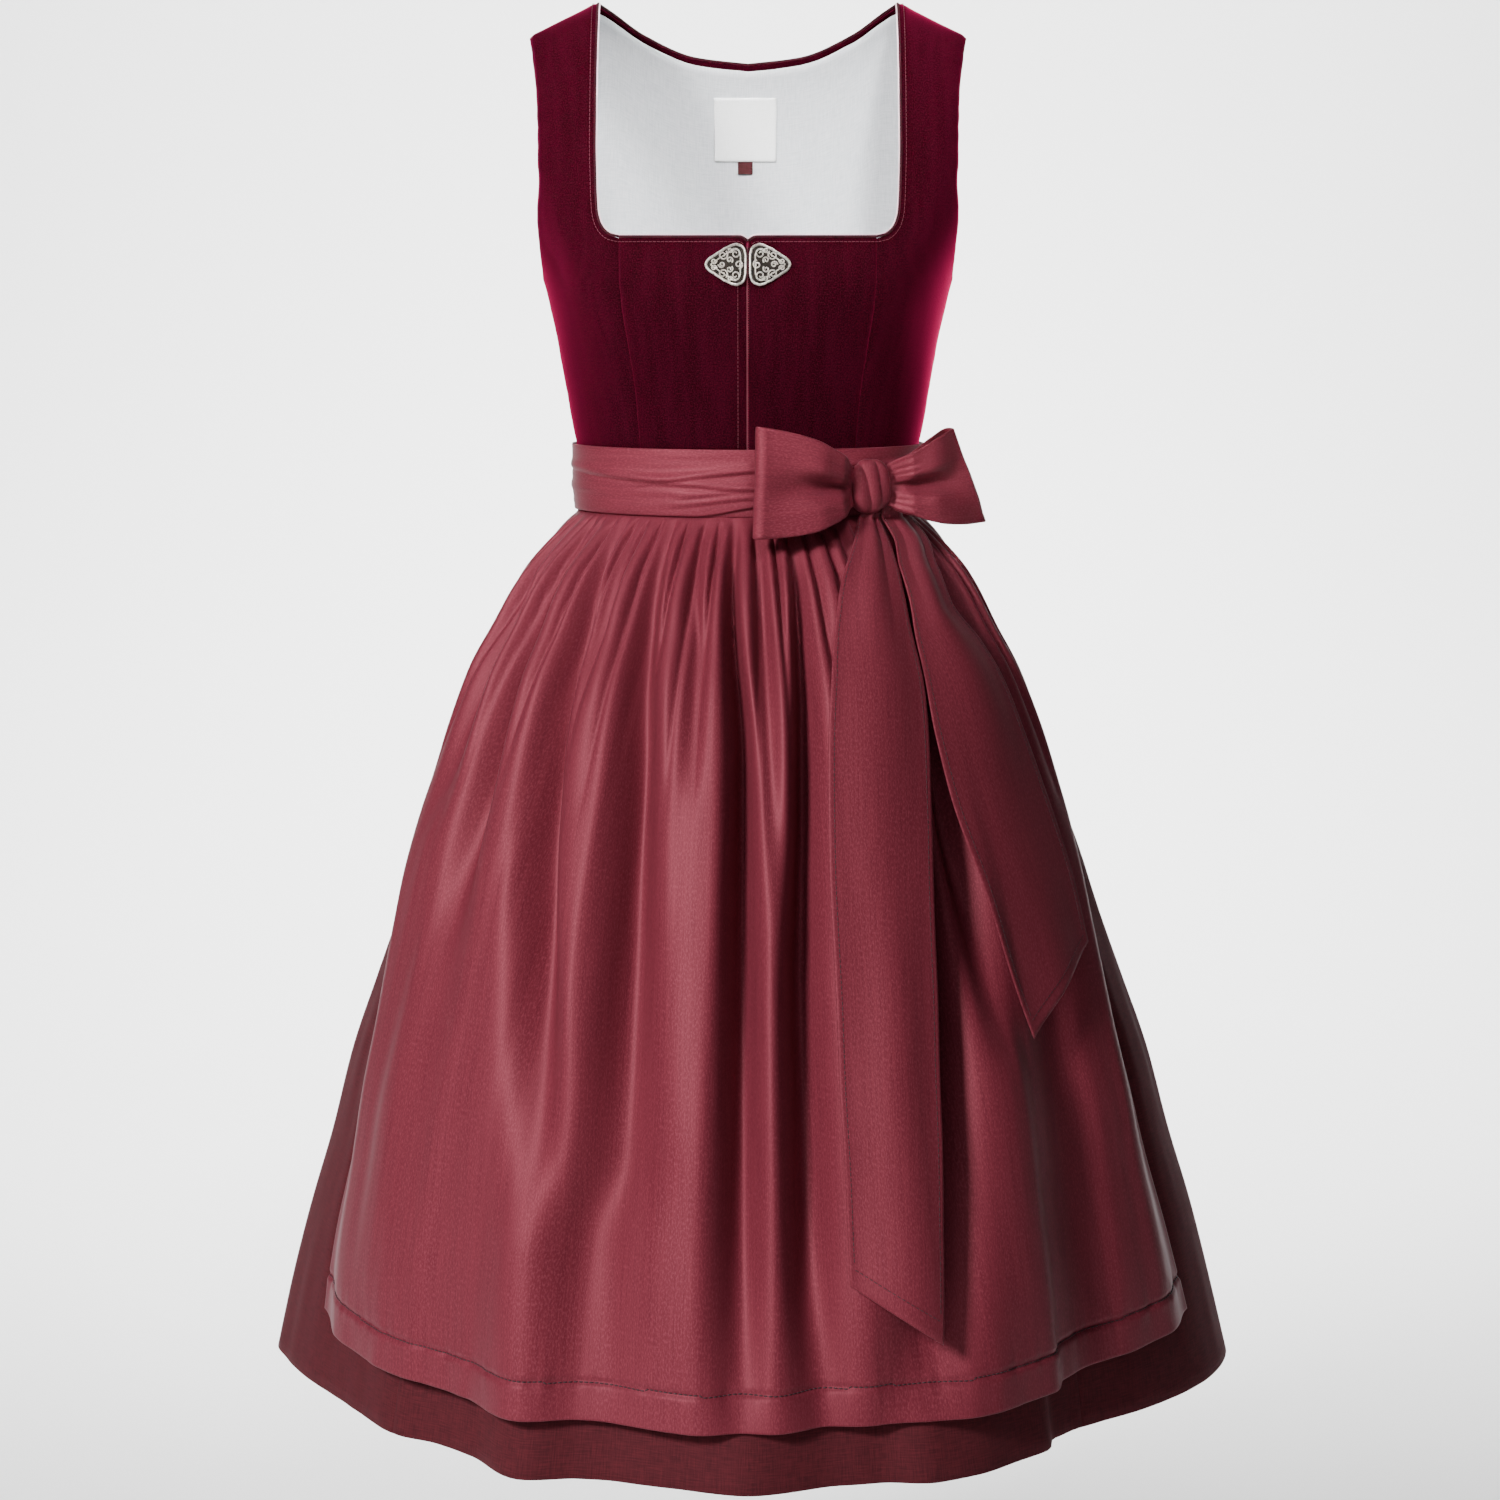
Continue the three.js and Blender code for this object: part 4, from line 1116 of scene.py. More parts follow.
    def fronts(self) -> None:
        """The two front panels, with the notch at the top of the slit."""
        levels = self.levels(FORM.waist, FORM.neckline, 96)
        gap = self.seam_gap / 2
        for side in Side:
            half = self.front_slit / 2 * side.value
            slit = lambda level, half=half: FORM.angle_of_x(half, level)
            if side is Side.LEFT:
                angle, level = self.panel(levels, lambda z: -self.front_seam(z - 1e-6), slit, 56, gap)
            else:
                angle, level = self.panel(levels, slit, lambda z: self.front_seam(z - 1e-6), 56, gap)
            x = np.abs(FORM.torso(angle[-1], level[-1])[:, 0])
            share = (level - FORM.waist) / (FORM.neckline - FORM.waist)
            level = level - self.notch(x) * share**8
            self.velvet(f"front_{side.name.lower()}", angle, level, top=True)

    def sides(self) -> None:
        """The side panels of the front and the back."""
        gap = self.seam_gap / 2
        levels = self.levels(FORM.waist, 0, 190)
        low = self.levels(FORM.waist, self.side_back_top, 90)
        for side in Side:
            name = side.name.lower()
            if side is Side.LEFT:
                front = self.panel(levels, mirrored(self.side_edge), mirrored(self.front_seam), 40, gap)
                back = self.panel(low, mirrored(self.back_seam), mirrored(self.back_side), 40, gap)
            else:
                front = self.panel(levels, self.front_seam, self.side_edge, 40, gap)
                back = self.panel(low, self.back_side, self.back_seam, 40, gap)
            self.velvet(f"side_front_{name}", *front, top=False)
            self.velvet(f"side_back_{name}", *back, top=False)

    def back(self) -> None:
        """The back panel, up to the shoulders."""
        deep = -FORM.waist
        roots = np.linspace(math.sqrt(deep), 0, 120)
        even = np.linspace(deep, 0, 120)
        drops = mix(even, roots * roots, smooth(120, 0, even)) / deep
        angle, level = self.back_places(FORM.waist, 121, drops)
        self.velvet("back", angle, level, top=True)
        angle, level = self.back_places(FORM.waist, 61, mix(4 / deep, 1, np.linspace(1, 0, 60)))
        self.lining("lining_back", angle, level)

    def linings(self) -> None:
        """The linings of the front."""
        levels = self.levels(FORM.waist, self.lining_top, 90)
        left = self.panel(
            levels, mirrored(self.side_edge), mirrored(self.front_seam), 30, self.lining_inset
        )
        right = self.panel(levels, self.front_seam, self.side_edge, 30, self.lining_inset)
        self.lining("lining_front_left", *left)
        self.lining("lining_front_right", *right)

    def neckline_path(self) -> tuple[Array, Array]:
        """The neckline, once round from the right of the slit to its left.

        Returns:
            Its places and their outward directions.
        """
        x = np.linspace(self.front_slit / 2, self.neck_rows[0][1], 70)
        level = np.full_like(x, FORM.neckline) - self.notch(x)
        front = (FORM.angle_of_x(x, level), level)
        level = self.levels(FORM.neckline, -0.4, 110)[1:]
        strap = (self.front_seam(level), level)
        angle, level = self.back_places(FORM.waist, 241, np.array([1.0, 0.0]))
        angle, level = angle[-1], level[-1]
        inside = (np.abs(FORM.torso(angle, level)[:, 0]) < FORM.neck_half - 0.3) & (angle <= 180)
        back = (angle[inside], level[inside])
        half = np.stack([np.concatenate(parts) for parts in zip(front, strap, back)], -1)
        other = half[:-1][::-1] * [-1, 1]
        other[:, 0] = np.where(other[:, 0] < -179.99, -180, other[:, 0])
        path = np.concatenate([half, other])
        out = normals(FORM.torso, path[:, 0], path[:, 1])
        return FORM.torso(path[:, 0], path[:, 1]), out

    def neck_trim(self) -> None:
        """The dark piping at the neck's edge, the pale edge of the lining on it, and the edge stitching."""
        place, out = self.neckline_path()
        along = unit(np.gradient(place, axis=0))
        away = unit(np.cross(out, along))
        cord = Parts()
        cord.tube(place - out * self.thick / 2 + away * 0.7, out, self.piping_radius, 8)
        dress(cord.piece("neck_edge_piping"), PIPING, "neck_piping")
        pale = Parts()
        facing = int(np.argmin(place[:, 1] < -3))
        edge = place - out * 0.9 + away * 1.9
        pale.tube(edge[:facing], out[:facing], 0.5, 6)
        pale.tube(edge[-facing:], out[-facing:], 0.5, 6)
        dress(pale.piece("neck_edge_lining"), PALE_EDGE)
        line = (place - away * 3 + out * 0.15, out)
        sew("neck_edge_stitches", WINE_THREAD, line, pitch=2.8, thick=0.24)

    def make(self) -> None:
        """Makes the bodice."""
        self.fronts()
        self.sides()
        self.back()
        self.linings()
        self.neck_trim()


# Small parts of the bodice.


@dataclass
class Clasp:
    """A two-part clasp of silver scrollwork on a blackened plate."""

    width: float = 27.5
    rim_points: int = 108
    plate_gap: float = 0.3
    plate_thick: float = 1.0
    centre: float = 14.5
    level: float = -177.0
    # distance from the flat side, half height
    outline_rows: Rows = (
        (0, 6.7), (1.2, 10.9), (3, 12.7), (6.5, 14.1), (10, 13.3), (12.8, 11.7), (15, 11),
        (17, 9.4), (19.6, 7.9), (22, 6.2), (24.7, 4.6), (26.6, 2.5), (27.5, 0),
    )  # fmt: skip
    # x, y, reach, start in radians, turns
    scrolls: tuple = (
        (-6.4, 7.2, 3.6, 0.3, 1.4), (-6.4, -7.2, 3.6, -0.3, -1.4), (1.8, 6.2, 3.3, 2.2, 1.4),
        (1.8, -6.2, 3.3, -2.2, -1.4), (-8.6, 0.0, 2.8, 1.6, 1.4), (7.8, 2.3, 2.0, 2.6, 1.3),
        (7.8, -2.3, 2.0, -2.6, -1.3), (-2.6, 3.0, 2.2, 4.0, -1.3), (-2.6, -3.0, 2.2, -4.0, 1.3),
        (2.6, 0.0, 2.2, 0.0, 1.4), (-3.0, 9.6, 1.7, 3.4, 1.2), (-3.0, -9.6, 1.7, -3.4, -1.2),
    )  # fmt: skip

    def outline(self, count: int, inset: float = 0.0) -> Array:
        """The rim of one half, or a line inside it, in its own plane with the flat side at -x.

        Args:
            count: How many places it has.
            inset: How far inside the rim it runs.

        Returns:
            The places, across and up.
        """
        away, high = np.array(self.outline_rows).T
        x = np.concatenate([away, away[-2::-1]]) - self.width / 2
        y = np.concatenate([-high, high[-2::-1]])
        corners = np.stack([np.append(x, x[0]), np.append(y, y[0])], -1)
        length = run(corners, 0)
        at = np.linspace(0, length[-1], 6 * count, endpoint=False)
        line = np.stack([np.interp(at, length, side) for side in corners.T], -1)
        weights = np.array([1, 2, 3, 4, 3, 2, 1]) / 16
        for _ in range(3):
            line = sum(w * np.roll(line, k - 3, 0) for k, w in enumerate(weights))
        along = unit(np.roll(line, -3, 0) - np.roll(line, 3, 0))
        inward = np.stack([-along[:, 1], along[:, 0]], -1)
        return (line + inward * inset)[::6]

    def place(self, side: Side) -> Array:
        """How a half lies on the velvet.

        Args:
            side: Which half.

        Returns:
            The half's own x and y directions, its outward direction and its middle.
        """
        angle = FORM.angle_of_x(side.value * self.centre, np.array(self.level))
        spot = FORM.torso(angle, np.array(self.level))
        out = normals(FORM.torso, angle, np.array(self.level))
        up = unit(np.array([0, 0, 1]) - out * out[2])
        right = np.cross(up, out) * side.value
        return np.stack([right, up * side.value, out, spot], 0)

    def scroll(self, x: float, y: float, size: float, start: float, turns: float) -> Array:
        """A wire that winds inward to a small eye.

        Args:
            x: Its middle, across.
            y: Its middle, up.
            size: How far its outer end is from its middle.
            start: Where its outer end is, in radians.
            turns: How many times it winds round.

        Returns:
            Its places, across and up.
        """
        share = np.linspace(0, 1, 34)
        turn = start + turns * 2 * np.pi * share
        reach = size * (1 - 0.8 * share)
        return np.stack([x + reach * np.cos(turn), y + reach * np.sin(turn)], -1)

    def half(self, side: Side) -> None:
        """Makes one half of the clasp.

        Args:
            side: Which half.
        """
        right, up, out, spot = self.place(side)
        to_body = lambda flat, lift: spot + flat[:, :1] * right + flat[:, 1:] * up + lift * out
        count, face = self.rim_points, self.plate_gap + self.plate_thick
        rim = self.outline(count, 0.6)
        plate = Parts()
        rings = np.linspace(0.02, 1, 14)
        flat = (rim[None] * rings[:, None, None]).reshape(-1, 2)
        top, low = to_body(flat, face), to_body(flat, self.plate_gap)
        plate.add(top, grid_quads(14, count, ring=True)[:, ::-1])
        plate.add(low, grid_quads(14, count, ring=True))
        plate.add(np.concatenate([top[-count:], low[-count:]]), grid_quads(2, count, ring=True)[:, ::-1])
        name = f"clasp_{side.name.lower()}"
        dress(plate.piece(f"{name}_plate"), BLACKENED, name)
        wires = Parts()
        normal = np.broadcast_to(out, (count, 3))
        wires.tube(to_body(rim, face), normal, 0.85, 8, closed=True)
        wires.tube(to_body(self.outline(count, 4.0), face), normal, 0.4, 6, closed=True)
        for row in self.scrolls:
            wire = self.scroll(*row)
            taper = np.linspace(0.52, 0.38, len(wire))
            wires.tube(to_body(wire, face + 0.1), np.broadcast_to(out, (len(wire), 3)), taper, 6)
        dress(wires.piece(f"{name}_scrolls"), SILVER)

    def make(self) -> None:
        """Makes both halves."""
        for side in Side:
            self.half(side)


@dataclass
class Fastening:
    """The hidden front zip: its tape, its teeth, the stitched fold beside it, and a rose cord in the slit
    that paints the highlight on the velvet's folded edges.
    """

    half_tape: float = 8.0
    top: float = -161.0
    bottom: float = -334.0
    tape_deep: float = 2.3
    tooth_pitch: float = 1.6
    tooth_radius: float = 0.5
    tooth_deep: float = 1.5
    stitch_x: float = -6.6
    # Where the rose cord that paints the slit's edge highlight runs, and its radius
    highlight_x: float = -0.45
    highlight_radius: float = 0.35

    def make(self) -> None:
        """Makes the zip."""
        across, up = np.linspace(-self.half_tape, self.half_tape, 13), np.linspace(self.bottom, self.top, 60)
        x, level = np.meshgrid(across, up)
        outer, inner, _ = lay(FORM.torso, FORM.angle_of_x(x, level), level, 0.8, -self.tape_deep)
        tape = hang("zip_tape", (outer, inner), ZIP_TAPE, "front_zip")
        flat_size(outer)[:2]
        teeth = Parts()
        levels = np.arange(self.bottom + 8, self.top - 4, self.tooth_pitch)
        for k, z in enumerate(levels):
            spread = np.linspace(-1.1, 1.1, 3) + (0.25 if k % 2 else -0.25)
            place, out = FORM.bodice_line(spread, np.full(3, z))
            teeth.tube(place - out * self.tooth_deep, out, self.tooth_radius, 6)
        dress(teeth.piece("zip_teeth"), PIPING)
        level = np.linspace(FORM.waist + 2, FORM.neckline - 6, 120)
        place, out = FORM.bodice_line(self.stitch_x, level)
        sew("zip_stitches", WINE_THREAD, (place + out * 0.1, out), pitch=2.8, thick=0.24)
        # Painted highlight: a rose cord just inside the slit stands in for the light on the velvet's folded
        # edges
        edge = Parts()
        place, out = FORM.bodice_line(self.highlight_x, level)
        edge.tube(place - out * 0.9, out, self.highlight_radius, 6)
        dress(edge.piece("zip_slit_painted_highlight"), ROSE_SLIT_HIGHLIGHT)


@dataclass
class NeckLabel:
    """The woven label and the size tab in the back, both left bare."""

    thick: float = 0.6
    # Below the velvet, the gap, room for the lining's swells, and the lining
    depth: float = Bodice.thick + Bodice.layer_gap + 1 + Bodice.lining_thick
    cells: int = 24
    least_flat: float = 0.01
    # name, finish, left, right, top, bottom
    labels: tuple = (
        ("neck_label", LABEL, -24.0, 20.0, -60.0, -104.0),
        ("size_tab", TAB, -7.0, 3.0, -104.6, -113.0),
    )

    def make(self) -> None:
        """Makes both."""
        for name, finish, left, right, top, bottom in self.labels:
            x, level = np.meshgrid(np.linspace(right, left, self.cells), np.linspace(bottom, top, self.cells))
            angle = 180 - FORM.angle_of_x(x, level)
            outer, inner, out = lay(FORM.torso, angle, level, self.thick, -self.depth)
            tape = hang(f"bare_{name}", (outer, inner), finish, name)
            width, length = (max(side, self.least_flat) for side in flat_size(outer)[:2])
            last = self.cells - 1
            border = np.array([(1, k) for k in range(1, last)] + [(k, last - 1) for k in range(2, last)])
            border = tuple(np.concatenate([border, last - border, border[:1]]).T)
            sew(f"{name}_stitches", finish, (outer[border], out[border]), pitch=1.8, thick=0.12)


# The skirt.


@dataclass
class Skirt:
    """The gathered skirt in four panels of twill."""

    thick: float = 1.0
    top: float = -335.4
    seam_gap: float = 0.3
    columns: int = 100
    # From one level to another, how many rows
    rows: tuple = ((FORM.skirt_hem, -460, 60), (-455, top, 40))
    # The cut's share of its greatest width by its length
    flare: float = 0.9
    small_fold: Swell = Swell(0.6, 3.1, 90, 12)
    fold_drift: Swell = Swell(3, 9, 260, 13)
    fold_pitch: float = 11.0
    # Angles between which the deep folds grow in beside the apron
    bare_from: tuple = (84, 98)
    # Angles between which the front sinks in under the apron
    pressed_to: tuple = (75, 66)
    # level, depth of the deep folds
    fold_rows: Rows = ((-336, 0), (-375, 5), (-480, 8), (-700, 7), (-948, 3))
    panels: tuple = (
        ("skirt_front", -48.0, 48.0),
        ("skirt_side_right", 48.0, 132.0),
        ("skirt_back", 132.0, 228.0),
        ("skirt_side_left", 228.0, 312.0),
    )

    def folds(self, angle: Array, level: Array) -> Array:
        """Small folds all over, and deep upright ones where no apron lies on the skirt.

        Args:
            angle: The angle of each place.
            level: The level of each place.

        Returns:
            How far each place is moved out.
        """
        around = np.abs((angle + 180) % 360 - 180)
        small = self.small_fold(angle, level) * smooth(-345, -420, level)
        deep = Curve(self.fold_rows)(level) * smooth(*self.bare_from, around)
        pressed = FORM.sink(level) * smooth(*self.pressed_to, around)
        turn = (angle + self.fold_drift(angle, level)) * 180 / self.fold_pitch * DEGREE
        return small - pressed - deep * (1 - np.abs(np.cos(turn)))

    def make(self) -> None:
        """Makes the four panels."""
        for name, start, end in self.panels:
            levels = np.concatenate([np.linspace(*row) for row in self.rows])
            gap = angle_for(FORM.skirt, np.full_like(levels, start), levels, self.seam_gap / 2)
            angle = mix((start + gap)[:, None], (end - gap)[:, None], np.linspace(0, 1, self.columns)[None])
            level = levels[:, None] + 0 * angle
            outer, inner, _ = lay(FORM.skirt, angle, level, self.thick, self.folds(angle, level))
            piece = hang(f"twill_{name}", (outer, inner), TWILL, name, gathered=True)
            width, length, _ = flat_size(outer)


# The apron.


@dataclass
class Apron:
    """The satin apron: its gathers and folds, its waistband and its stitched hem."""

    thick: float = 1.0
    top: float = -345.4
    hem: float = -909.0
    # From one level to another, how many rows
    rows: tuple = ((hem, hem + 30, 22), (hem + 38, -472, 50), (-466, top, 48))
    columns: int = 400
    gather_pitch: float = 5.1
    edge_fade: float = 9.0
    corner_rise: float = 16.0
    hem_fold: float = 24.0
    hem_pucker: Swell = Swell(0.6, 1.1, 1, 21)
    pucker_reach: float = 7.0
    groove_deep: float = 1.5
    groove_half: float = 1.9
    hem_stands_out: float = 0.9
    gather_drift: Swell = Swell(1.6, 7, 1, 23)
    soft_folds: tuple = (Swell(0.6, 2.1, 190, 24), Swell(2.4, 6, 240, 25))
    # Levels between which the soft folds grow in below the gathers
    soft_from: tuple = (-380, -480)
    # How high a soft fold the tie's ends clear
    soft_cover: float = 1.5
    band_thick: float = 1.2
    band_angles: tuple = (-84, 80)
    band_levels: tuple = (-345, -305)
    band_pucker: Swell = Swell(0.3, 2.6, 12, 31)
    # level, how far the band stands off the bodice
    band_rows: tuple = ((-300, 1.7), (-305, 1.7), (-318, 2.2), (-332, 3.2), (-350, 3.2))
    # level, clearance, ridge height, left edge, right edge
    form_rows: Rows = (
        (-345, 1.6, 0, 84, 80), (-349, 2.2, 0.4, 84, 80), (-360, 2.4, 3, 83.6, 79.5),
        (-385, 2.6, 12, 82.8, 78.5), (-420, 2.8, 17, 81.8, 77.5), (-450, 3, 20, 80.9, 76.8),
        (-500, 3, 21, 79.5, 75.6), (-620, 3.2, 23, 75.5, 71.3), (-727, 3.4, 22, 72.4, 69.4),
        (-840, 3.6, 17, 71.7, 70.4), (-909, 3.6, 11, 70, 71.3),
    )  # fmt: skip
    # level, share of the ridge that is gone between two gathers
    gather_rows: tuple = (
        (-345, 0), (-350, 0.7), (-360, 0.95), (-385, 0.6), (-420, 0.3), (-470, 0.12), (-540, 0),
    )  # fmt: skip
    # Each valley between two folds, down the cloth: level, angle, half width, share of the ridge taken away
    valleys: tuple = (
        ((-349, -71, 2.2, 0.5), (-400, -68, 2.6, 0.7), (-470, -65, 3, 0.4), (-560, -63, 4, 0)),
        ((-349, -58, 2, 0.7), (-400, -56.2, 2.6, 0.95), (-480, -54.5, 3, 0.9),
         (-560, -52.6, 3.6, 0.6), (-650, -51, 5, 0.2), (-800, -50, 6, 0)),
        ((-349, -43.5, 2, 0.7), (-405, -41.5, 3, 1), (-500, -38.8, 3.4, 1), (-650, -30.8, 3.6, 0.85),
         (-735, -27.1, 4, 0.5), (-800, -26, 5, 0)),
        ((-349, -36.5, 1.6, 0.5), (-390, -35.5, 1.8, 0.5), (-470, -34.5, 2.4, 0)),
        ((-349, -24.8, 2.2, 0.7), (-390, -24.3, 3.2, 1), (-500, -20.1, 3.6, 1), (-650, -17.2, 4, 0.9),
         (-745, -16.5, 5, 0.8), (-800, -19, 6, 0.7), (-909, -17.6, 7, 0.6)),
        ((-349, -13, 1.6, 0.5), (-390, -12.6, 2, 0.55), (-432, -10.7, 2, 0.4), (-520, -9.5, 2, 0)),
        ((-349, -4.5, 1.4, 0.8), (-400, -3.8, 1.5, 1), (-500, -1, 2, 1), (-700, -0.8, 2.6, 1),
         (-909, -0.6, 3.4, 0.9)),
        ((-349, 3.4, 1.4, 0.6), (-390, 3.5, 1.6, 0.6), (-480, 3.9, 2, 0.4), (-600, 4.5, 2, 0)),
        ((-349, 13.5, 1.8, 0.7), (-420, 11.8, 2.2, 0.9), (-522, 9.9, 2.4, 1), (-650, 7.9, 2.8, 1),
         (-820, 7.5, 3.4, 0.9), (-909, 8.4, 4, 0.8)),
        ((-349, 29, 2.2, 0.6), (-420, 30, 3, 0.8), (-545, 30, 3.4, 0.95), (-640, 27.6, 3.6, 1),
         (-780, 23.6, 4.4, 1), (-909, 19.5, 5, 0.9)),
        ((-349, 43, 2.2, 0.6), (-420, 40, 3, 0.9), (-545, 36.6, 3, 0.9), (-610, 36.4, 3.6, 0.6),
         (-700, 37, 4, 0)),
        ((-349, 60, 2.4, 0.6), (-420, 58, 3, 0.8), (-560, 54, 4, 0.6), (-700, 50, 6, 0.4),
         (-909, 47, 7, 0.3)),
    )  # fmt: skip

    def __post_init__(self) -> None:
        """Makes the curves of the tables."""
        self.clear, self.ridge, self.left, self.right = curves(self.form_rows)
        self.gather = Curve(self.gather_rows)
        self.valley_curves = [curves(rows) for rows in self.valleys]

    def base(self, angle: Array, level: Array) -> Array:
        """How far the apron stands off the skirt's plan, without its folds."""
        return FORM.wave(angle, level) + self.clear(level)

    def fold(self, angle: Array, level: Array) -> Array:
        """The height of the folds and gathers.

        Args:
            angle: The angle of each place.
            level: The level of each place.

        Returns:
            How far each place is moved out.
        """
        near = np.minimum(angle + self.left(level), self.right(level) - angle)
        fade = smooth(0, self.edge_fade, np.maximum(0, near))
        kept = np.ones(np.broadcast(angle, level).shape)
        for middle, width, share in self.valley_curves:
            kept = kept * (1 - share(level) * bell((angle - middle(level)) / width(level)))
        drift = self.gather_drift(angle, 0 * level)
        gather = 1 - np.abs(np.cos(180 / self.gather_pitch * (angle + drift) * DEGREE))
        soft = self.soft_folds[0](angle, level) + self.soft_folds[1](angle, level)
        sink = FORM.sink(level)
        tall = (self.ridge(level) + sink) * kept * (1 - self.gather(level) * gather**1.4) - sink
        return fade * (tall + soft * smooth(*self.soft_from, level))

    def surface(self, angle: Array, level: Array) -> Array:
        """The apron's outer face."""
        return FORM.skirt_plan(angle, level, self.base(angle, level) + self.fold(angle, level))

    def cover(self, angle: Array, level: Array, out: Array | float) -> Array:
        """A place that clears the apron's highest folds.

        Args:
            angle: The angle of each place.
            level: The level of each place.
            out: How far each place stands off the highest folds.

        Returns:
            The places.
        """
        soft = self.soft_cover * smooth(*self.soft_from, level)
        high = self.base(angle, level) + self.ridge(level) + soft
        return FORM.skirt_plan(angle, level, high + out)

    def places(self) -> tuple[Array, Array]:
        """The angle and the level of each place of the apron.

        Returns:
            Angles and levels, in rows from the hem up.
        """
        levels = np.concatenate([np.linspace(*row) for row in self.rows])
        across = np.linspace(-1, 1, self.columns)[None]
        share = (self.top - levels[:, None]) / (self.top - self.hem)
        level = levels[:, None] + self.corner_rise * np.abs(across) ** 3 * share**4
        return across * np.where(across < 0, self.left(level), self.right(level)), level

    def cloth(self) -> None:
        """The gathered cloth with its hem."""
        angle, level = self.places()
        seam = run(self.surface(angle, level), 0) - self.hem_fold
        pucker = self.hem_pucker(angle, 0 * level) * bell(seam / self.pucker_reach)
        groove = self.groove_deep * bell(seam / self.groove_half)
        relief = pucker - groove + self.hem_stands_out * smooth(1.5, -1.5, seam)
        outer, inner, out = lay(self.surface, angle, level, self.thick, relief)
        piece = hang("satin_apron", (outer, inner), SATIN, "apron", gathered=True)
        row, columns = np.argmin(np.abs(seam), axis=0), np.arange(level.shape[1])
        place, up = outer[row, columns], out[row, columns]
        line = (place + up * 0.2, up)
        stitches = sew("apron_hem_stitches", BURGUNDY_THREAD, line, pitch=3.4, thick=0.42)
        width, length, _ = flat_size(outer)

    def band(self) -> None:
        """The waistband under the wrapped tie."""
        out = Curve(self.band_rows)
        surface = lambda a, z: FORM.around_waist(a, z, out(z))
        across, up = np.linspace(*self.band_angles, 160), np.linspace(*self.band_levels, 14)
        angle, level = np.meshgrid(across, up)
        relief = self.band_pucker(angle, level) * smooth(-330, -345, level)
        outer, inner, _ = lay(surface, angle, level, self.band_thick, relief)
        piece = hang("satin_waistband", (outer, inner), SATIN, "apron_waistband")
        flat_size(outer)[:2]

    def make(self) -> None:
        """Makes the apron."""
        self.band()
        self.cloth()


# The tie.


